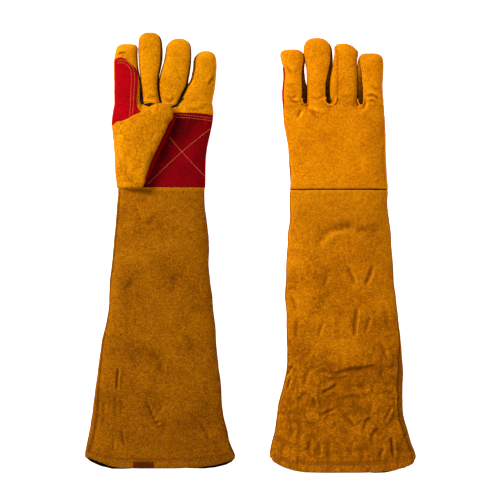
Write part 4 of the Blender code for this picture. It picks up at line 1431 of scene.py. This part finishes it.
for side in ("left", "right"):
    wristY = glove[side]["wrist"]
    y = np.concatenate([wristY - np.array([0.5, 0.9, 1.6, 2.6, 4.0]), np.linspace(wristY - 5.4, hemStart + 0.2, 236)])
    base, angles = cuffRing(side, y)
    faces = cellFaces(*base.shape[:2], ring=True)[:, ::-1]          # rows run down the arm, so turned to face outwards
    normals = weldedNormals([(base, faces)])[0]
    push = cuffRelief(side, base, normals)
    n, m = cuffSteps["side"], cuffSteps["panel"]
    fade = ease((wristY - y) / 6)
    pucker = 1 + 0.15 * np.sin(y * 1.05)
    for column in (n, n + m):
        push[:, column] -= 2.2 * fade * pucker
        push[:, column - 1] += 0.30 * fade
        push[:, column + 1] += 0.30 * fade
    tuck = np.clip(1 - (wristY - y) / 3.0, 0, 1) ** 2 * 1.3
    grid = base + normals * (push - tuck[:, None])[..., None]
    grid[..., 2] = np.maximum(grid[..., 2], skinFloor)
    final = weldedNormals([(grid, faces)])[0]
    total = grid.shape[1]
    upper, lower = ("palm", "back") if side == "left" else ("back", "palm")
    finish = finishes[f"{side}Cuff"]
    for part, first, last in ((upper, n, n + m), (lower, n + m, total + n)):
        points, nor = strip(grid, final, first, last)
        tone = creaseTone(side, points)
        if part == lower:
            tone = tone - 0.04 - (0.12 if side == "left" else 0.24) * ease(nor[..., 2] / 0.3)
        tone[:, [0, -1]] -= 0.42
        tone[:, [1, -2]] -= 0.12
        skin = piece(f"{side}_cuff_{part}_panel_skin", points, cellFaces(*points.shape[:2])[:, ::-1], finish,
                     tone=tone, normals=nor)
        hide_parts(f"{side}_cuff_{part}_panel")
        bendCuff(skin)

    # The lining: a dark sleeve inside the leather, showing at the open hem
    y = np.linspace(wristY - 6, -287.0, 90)
    inner, _ = cuffRing(side, y, grow=-2.6 - 4.6 * ease((y + 284) / 14))
    inner[..., 2] = np.maximum(inner[..., 2], 4.8)                  # above the folded hem
    inner = inner + 0.4 * lumps(inner, 12, 5)[..., None] * (1, 0, 1)
    sleeve = piece(f"{side}_cuff_lining_sleeve", inner, cellFaces(*inner.shape[:2], ring=True), finishes["lining"])
    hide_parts(f"{side}_cuff_lining")
    bendCuff(sleeve)

    # The hem: the leather folded inwards and sewn down, as one closed band
    rows = []
    for out, down in hemProfile:
        ring, _ = cuffRing(side, np.array([hemStart - down]), angles=angles[-1:])
        offset = grid[-1] - base[-1]
        rows.append(ring[0] + offset * (1 - down / 30) + final[-1] * out)
    band = np.array(rows + rows[:1])
    wave = 0.35 * np.sin(np.arange(total) * 0.52 + 0.6 * np.sin(np.arange(total) * 0.11))
    inside = np.array([1.0 if 2 <= k <= 7 else 0.3 for k in range(len(band))])
    band = band + final[-1][None] * (wave[None, :, None] * inside[:, None, None] * 0.5)
    band[..., 2] = np.maximum(band[..., 2], 0.1)
    bandFaces = cellFaces(*band.shape[:2], ring=True)
    if np.sum(weldedNormals([(band, bandFaces)])[0][3] * final[-1]) < 0:
        bandFaces = bandFaces[:, ::-1]
    tone = creaseTone(side, band) - 0.08 + np.array(hemTones)[:, None]
    hem = piece(f"{side}_cuff_hem_band", band, bandFaces, finish, tone=tone)
    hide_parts(f"{side}_cuff_hem")
    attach(hem, f"{side}_cuff")
    rowPath = np.concatenate([band[3], band[3][:1]])
    rowNormals = np.concatenate([final[-1], final[-1][:1]])
    row = stitches(f"{side}_hem_stitches", rowPath + rowNormals * 0.12, rowNormals, finishes["tanThread"],
                   2.6, 1.0, 0.36)
    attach(row, f"{side}_cuff")

    # The wrist seam: a narrow rolled welt all round
    around = np.concatenate([np.linspace(180, 0, 110), -np.linspace(0, 180, 110)[1:-1]])
    sunk, radius, finish, tone = wristWelt[side]
    ring, _ = cuffRing(side, np.array([wristY - 0.1]), grow=-sunk, angles=around[None, :])
    welt = rollPiece(f"{side}_wrist_seam_welt", ring[0], radius, finishes[finish], flat=1.1, closed=True, tone=tone)
    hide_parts(f"{side}_wrist_band")
    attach(welt, f"{side}_wrist")

    # The blank label lies over the left hem
    if side == "left":
        labelShape = {"left": -160.2, "right": -133.6, "low": -299.0, "high": -291.4, "thick": 0.9}
        lx = np.linspace(labelShape["left"], labelShape["right"], 30)
        order = np.argsort(band[4, n:n + m, 0])
        bandTop = band[:, n:n + m][:, order]
        ly = np.linspace(0, 1, 9)
        zTop = np.interp(lx, bandTop[4, :, 0], bandTop[4:7, :, 2].max(axis=0))
        gx, gy = np.meshgrid(lx, ly)
        yy = labelShape["low"] + gy * (labelShape["high"] - labelShape["low"])
        points = np.stack([gx, yy, np.broadcast_to(zTop + 0.25, gx.shape) - 0.5 * (1 - gy) ** 4], axis=-1)
        up = np.zeros_like(points)
        up[..., 2] = 1
        label = sheetPiece("left_hem_label_leather", points, up, labelShape["thick"], 0.6, finishes["label"],
                           0.15 * lumps(points, 4, 2))
        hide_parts("left_hem_label")
        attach(label, "left_cuff")
print("cuffs made")


# ---------- small trims at the feet of the finger gaps ----------

crotch = {
    "line": [
        (104.5, 211), (102.9, 208.2), (103.3, 204.9), (105.6, 201.6), (109.5, 199.5), (113.6, 200), (116.9, 203),
        (118.3, 206.8), (118.9, 211.8),
    ],
    "radius": 1.9,
    "hole": [(108.4, 211), (108.9, 208.5), (109.8, 206), (111.1, 204.1)],
}
path, _ = resample(crotch["line"], 0.8)
middleTop = surfaceAt("right", "middle", np.minimum(path[:, 0], 105.6), path[:, 1], 1)[:, 2]
ringTop = surfaceAt("right", "ring", np.maximum(path[:, 0], 110.5), path[:, 1], 1)[:, 2]
across = ease(np.linspace(0, 1, len(path)))
z = middleTop * (1 - across) + ringTop * across
z = np.maximum(z, max(middleTop.max(), ringTop.max()) - 1.2) + 0.6
welt = rollPiece("right_crotch_welt", np.column_stack([path, z]), crotch["radius"], finishes["handTan"],
                 flat=1.2, tone=0.22)
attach(welt, "right_hand")
# A dark lining pad at the foot of the gap: painted shade standing for the shadow down in the crotch
hole = rollPiece("right_crotch_shade_hole", [(*p, z.min() - 0.3) for p in crotch["hole"]], 1.7, finishes["lining"],
                 flat=0.5)
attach(hole, "right_hand")

baseLips = {
    "middle": [(-147, 202.7), (-142.9, 203.5), (-137.9, 204.6), (-132.9, 204.1), (-127.7, 202.4)],
    "ring": [(-119.1, 203), (-115, 200.8), (-110.3, 200), (-105.4, 201.1), (-100.9, 204.1)],
}
crotchLips = {
    "index": [(71.2, 209.1), (72.3, 203.5), (75.6, 200.5), (78.9, 201.9), (80.3, 205.5)],
    "ring": [(148.1, 209.1), (149.2, 202.7), (152.5, 199.4), (155.8, 201.6), (156.7, 209.1)],
}
shadeSlits = {
    "index": ([(-149.5, 210.4), (-148.4, 206.3), (-145.6, 202.7), (-140.7, 200.8), (-134.3, 200.2)], 1.5),
    "middle": ([(-124.4, 209.6), (-123.6, 206.3), (-122.5, 203)], 1.0),
    "ring": ([(-93.2, 212.4), (-96.3, 207.7), (-99.3, 203.5), (-103.4, 200.2), (-109.5, 198.6)], 1.8),
}


def onHand(side, line, spacing, lift):
    """A line laid on the hand; past the knuckles it keeps the hand's last height."""
    path, _ = resample(line, spacing)
    p = surfaceAt(side, None, path[:, 0], np.minimum(path[:, 1], glove[side]["knuckle"] - 1), 1)
    p[:, 1] = path[:, 1]
    return p + (0, 0, lift)


# The lips at the finger bases are lighter: the raw leather edges, with painted highlight along them
for name, line in baseLips.items():
    path, _ = resample(line, 0.9)
    p = surfaceAt("left", None, path[:, 0], path[:, 1] - 1.2, 1)
    p[:, 1] = path[:, 1]
    lip = rollPiece(f"left_{name}_base_lip", p + (0, 0, 0.5), 0.8, finishes["leftTan"], flat=0.9, tone=0.35)
    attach(lip, "left_hand")
for name, line in crotchLips.items():
    lip = rollPiece(f"right_{name}_crotch_lip", onHand("right", line, 0.8, 0.2), 1.0, finishes["handTan"],
                    flat=0.9, tone=0.12)
    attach(lip, "right_hand")
# Dark lining strips laid in the slits at the finger bases: painted shade standing for the shadow down in those folds
for name, (line, radius) in shadeSlits.items():
    slit = rollPiece(f"left_{name}_crotch_shade_slit", onHand("left", line, 0.8, 0), radius, finishes["lining"], flat=0.5)
    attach(slit, "left_hand")
print("trims made")


# ---------- floor, light and camera ----------

studio = {
    "world": 0.50, "key": 98.8, "fill": 4.0, "floorGlow": 1.0, "floorHalf": 6, "floorZ": -0.0004,
    "cameraHeight": 5.0, "viewWidth": 0.6895, "midHeight": 0.025, "sensor": 36,
}
s = Sheet("floor_paper")
s.give({"Base Color": (0.93, 0.93, 0.93, 1), "Roughness": 0.9, "Specular IOR Level": 0.1,
        "Emission Color": (1, 1, 1, 1), "Emission Strength": studio["floorGlow"]})
floorMesh = bpy.data.meshes.new("floor")
corners = [(x * studio["floorHalf"], y * studio["floorHalf"], studio["floorZ"])
           for x, y in ((-1, -1), (1, -1), (1, 1), (-1, 1))]
floorMesh.from_pydata(corners, [], [(0, 1, 2, 3)])
floorMesh.materials.append(s.material)
floor = bpy.data.objects.new("floor", floorMesh)
bpy.context.scene.collection.objects.link(floor)

world = bpy.data.worlds.new("studio")
world.use_nodes = True
world.node_tree.nodes["Background"].inputs[0].default_value = (1, 1, 1, 1)
world.node_tree.nodes["Background"].inputs[1].default_value = studio["world"]
bpy.context.scene.world = world


def softLight(name, place, size, power):
    """A round area light aimed at the middle of the floor."""
    lamp = bpy.data.lights.new(name, "AREA")
    lamp.shape = "DISK"
    lamp.size = size
    lamp.energy = power
    obj = bpy.data.objects.new(name, lamp)
    obj.location = place
    obj.rotation_euler = (-Vector(place)).to_track_quat("-Z", "Y").to_euler()
    bpy.context.scene.collection.objects.link(obj)


softLight("key", (-1.9, 1.5, 1.9), 1.0, studio["key"])
softLight("fill", (1.6, -1.2, 2.2), 1.6, studio["fill"])

cameraData = bpy.data.cameras.new("camera")
cameraData.sensor_width = studio["sensor"]
cameraData.lens = studio["sensor"] * (studio["cameraHeight"] - studio["midHeight"]) / studio["viewWidth"]
cameraData.clip_end = 20
camera = bpy.data.objects.new("camera", cameraData)
camera.location = (0, 0.0008, studio["cameraHeight"])
bpy.context.scene.collection.objects.link(camera)
bpy.context.scene.camera = camera
bpy.context.scene.view_settings.view_transform = "Standard"

print("scene ready")
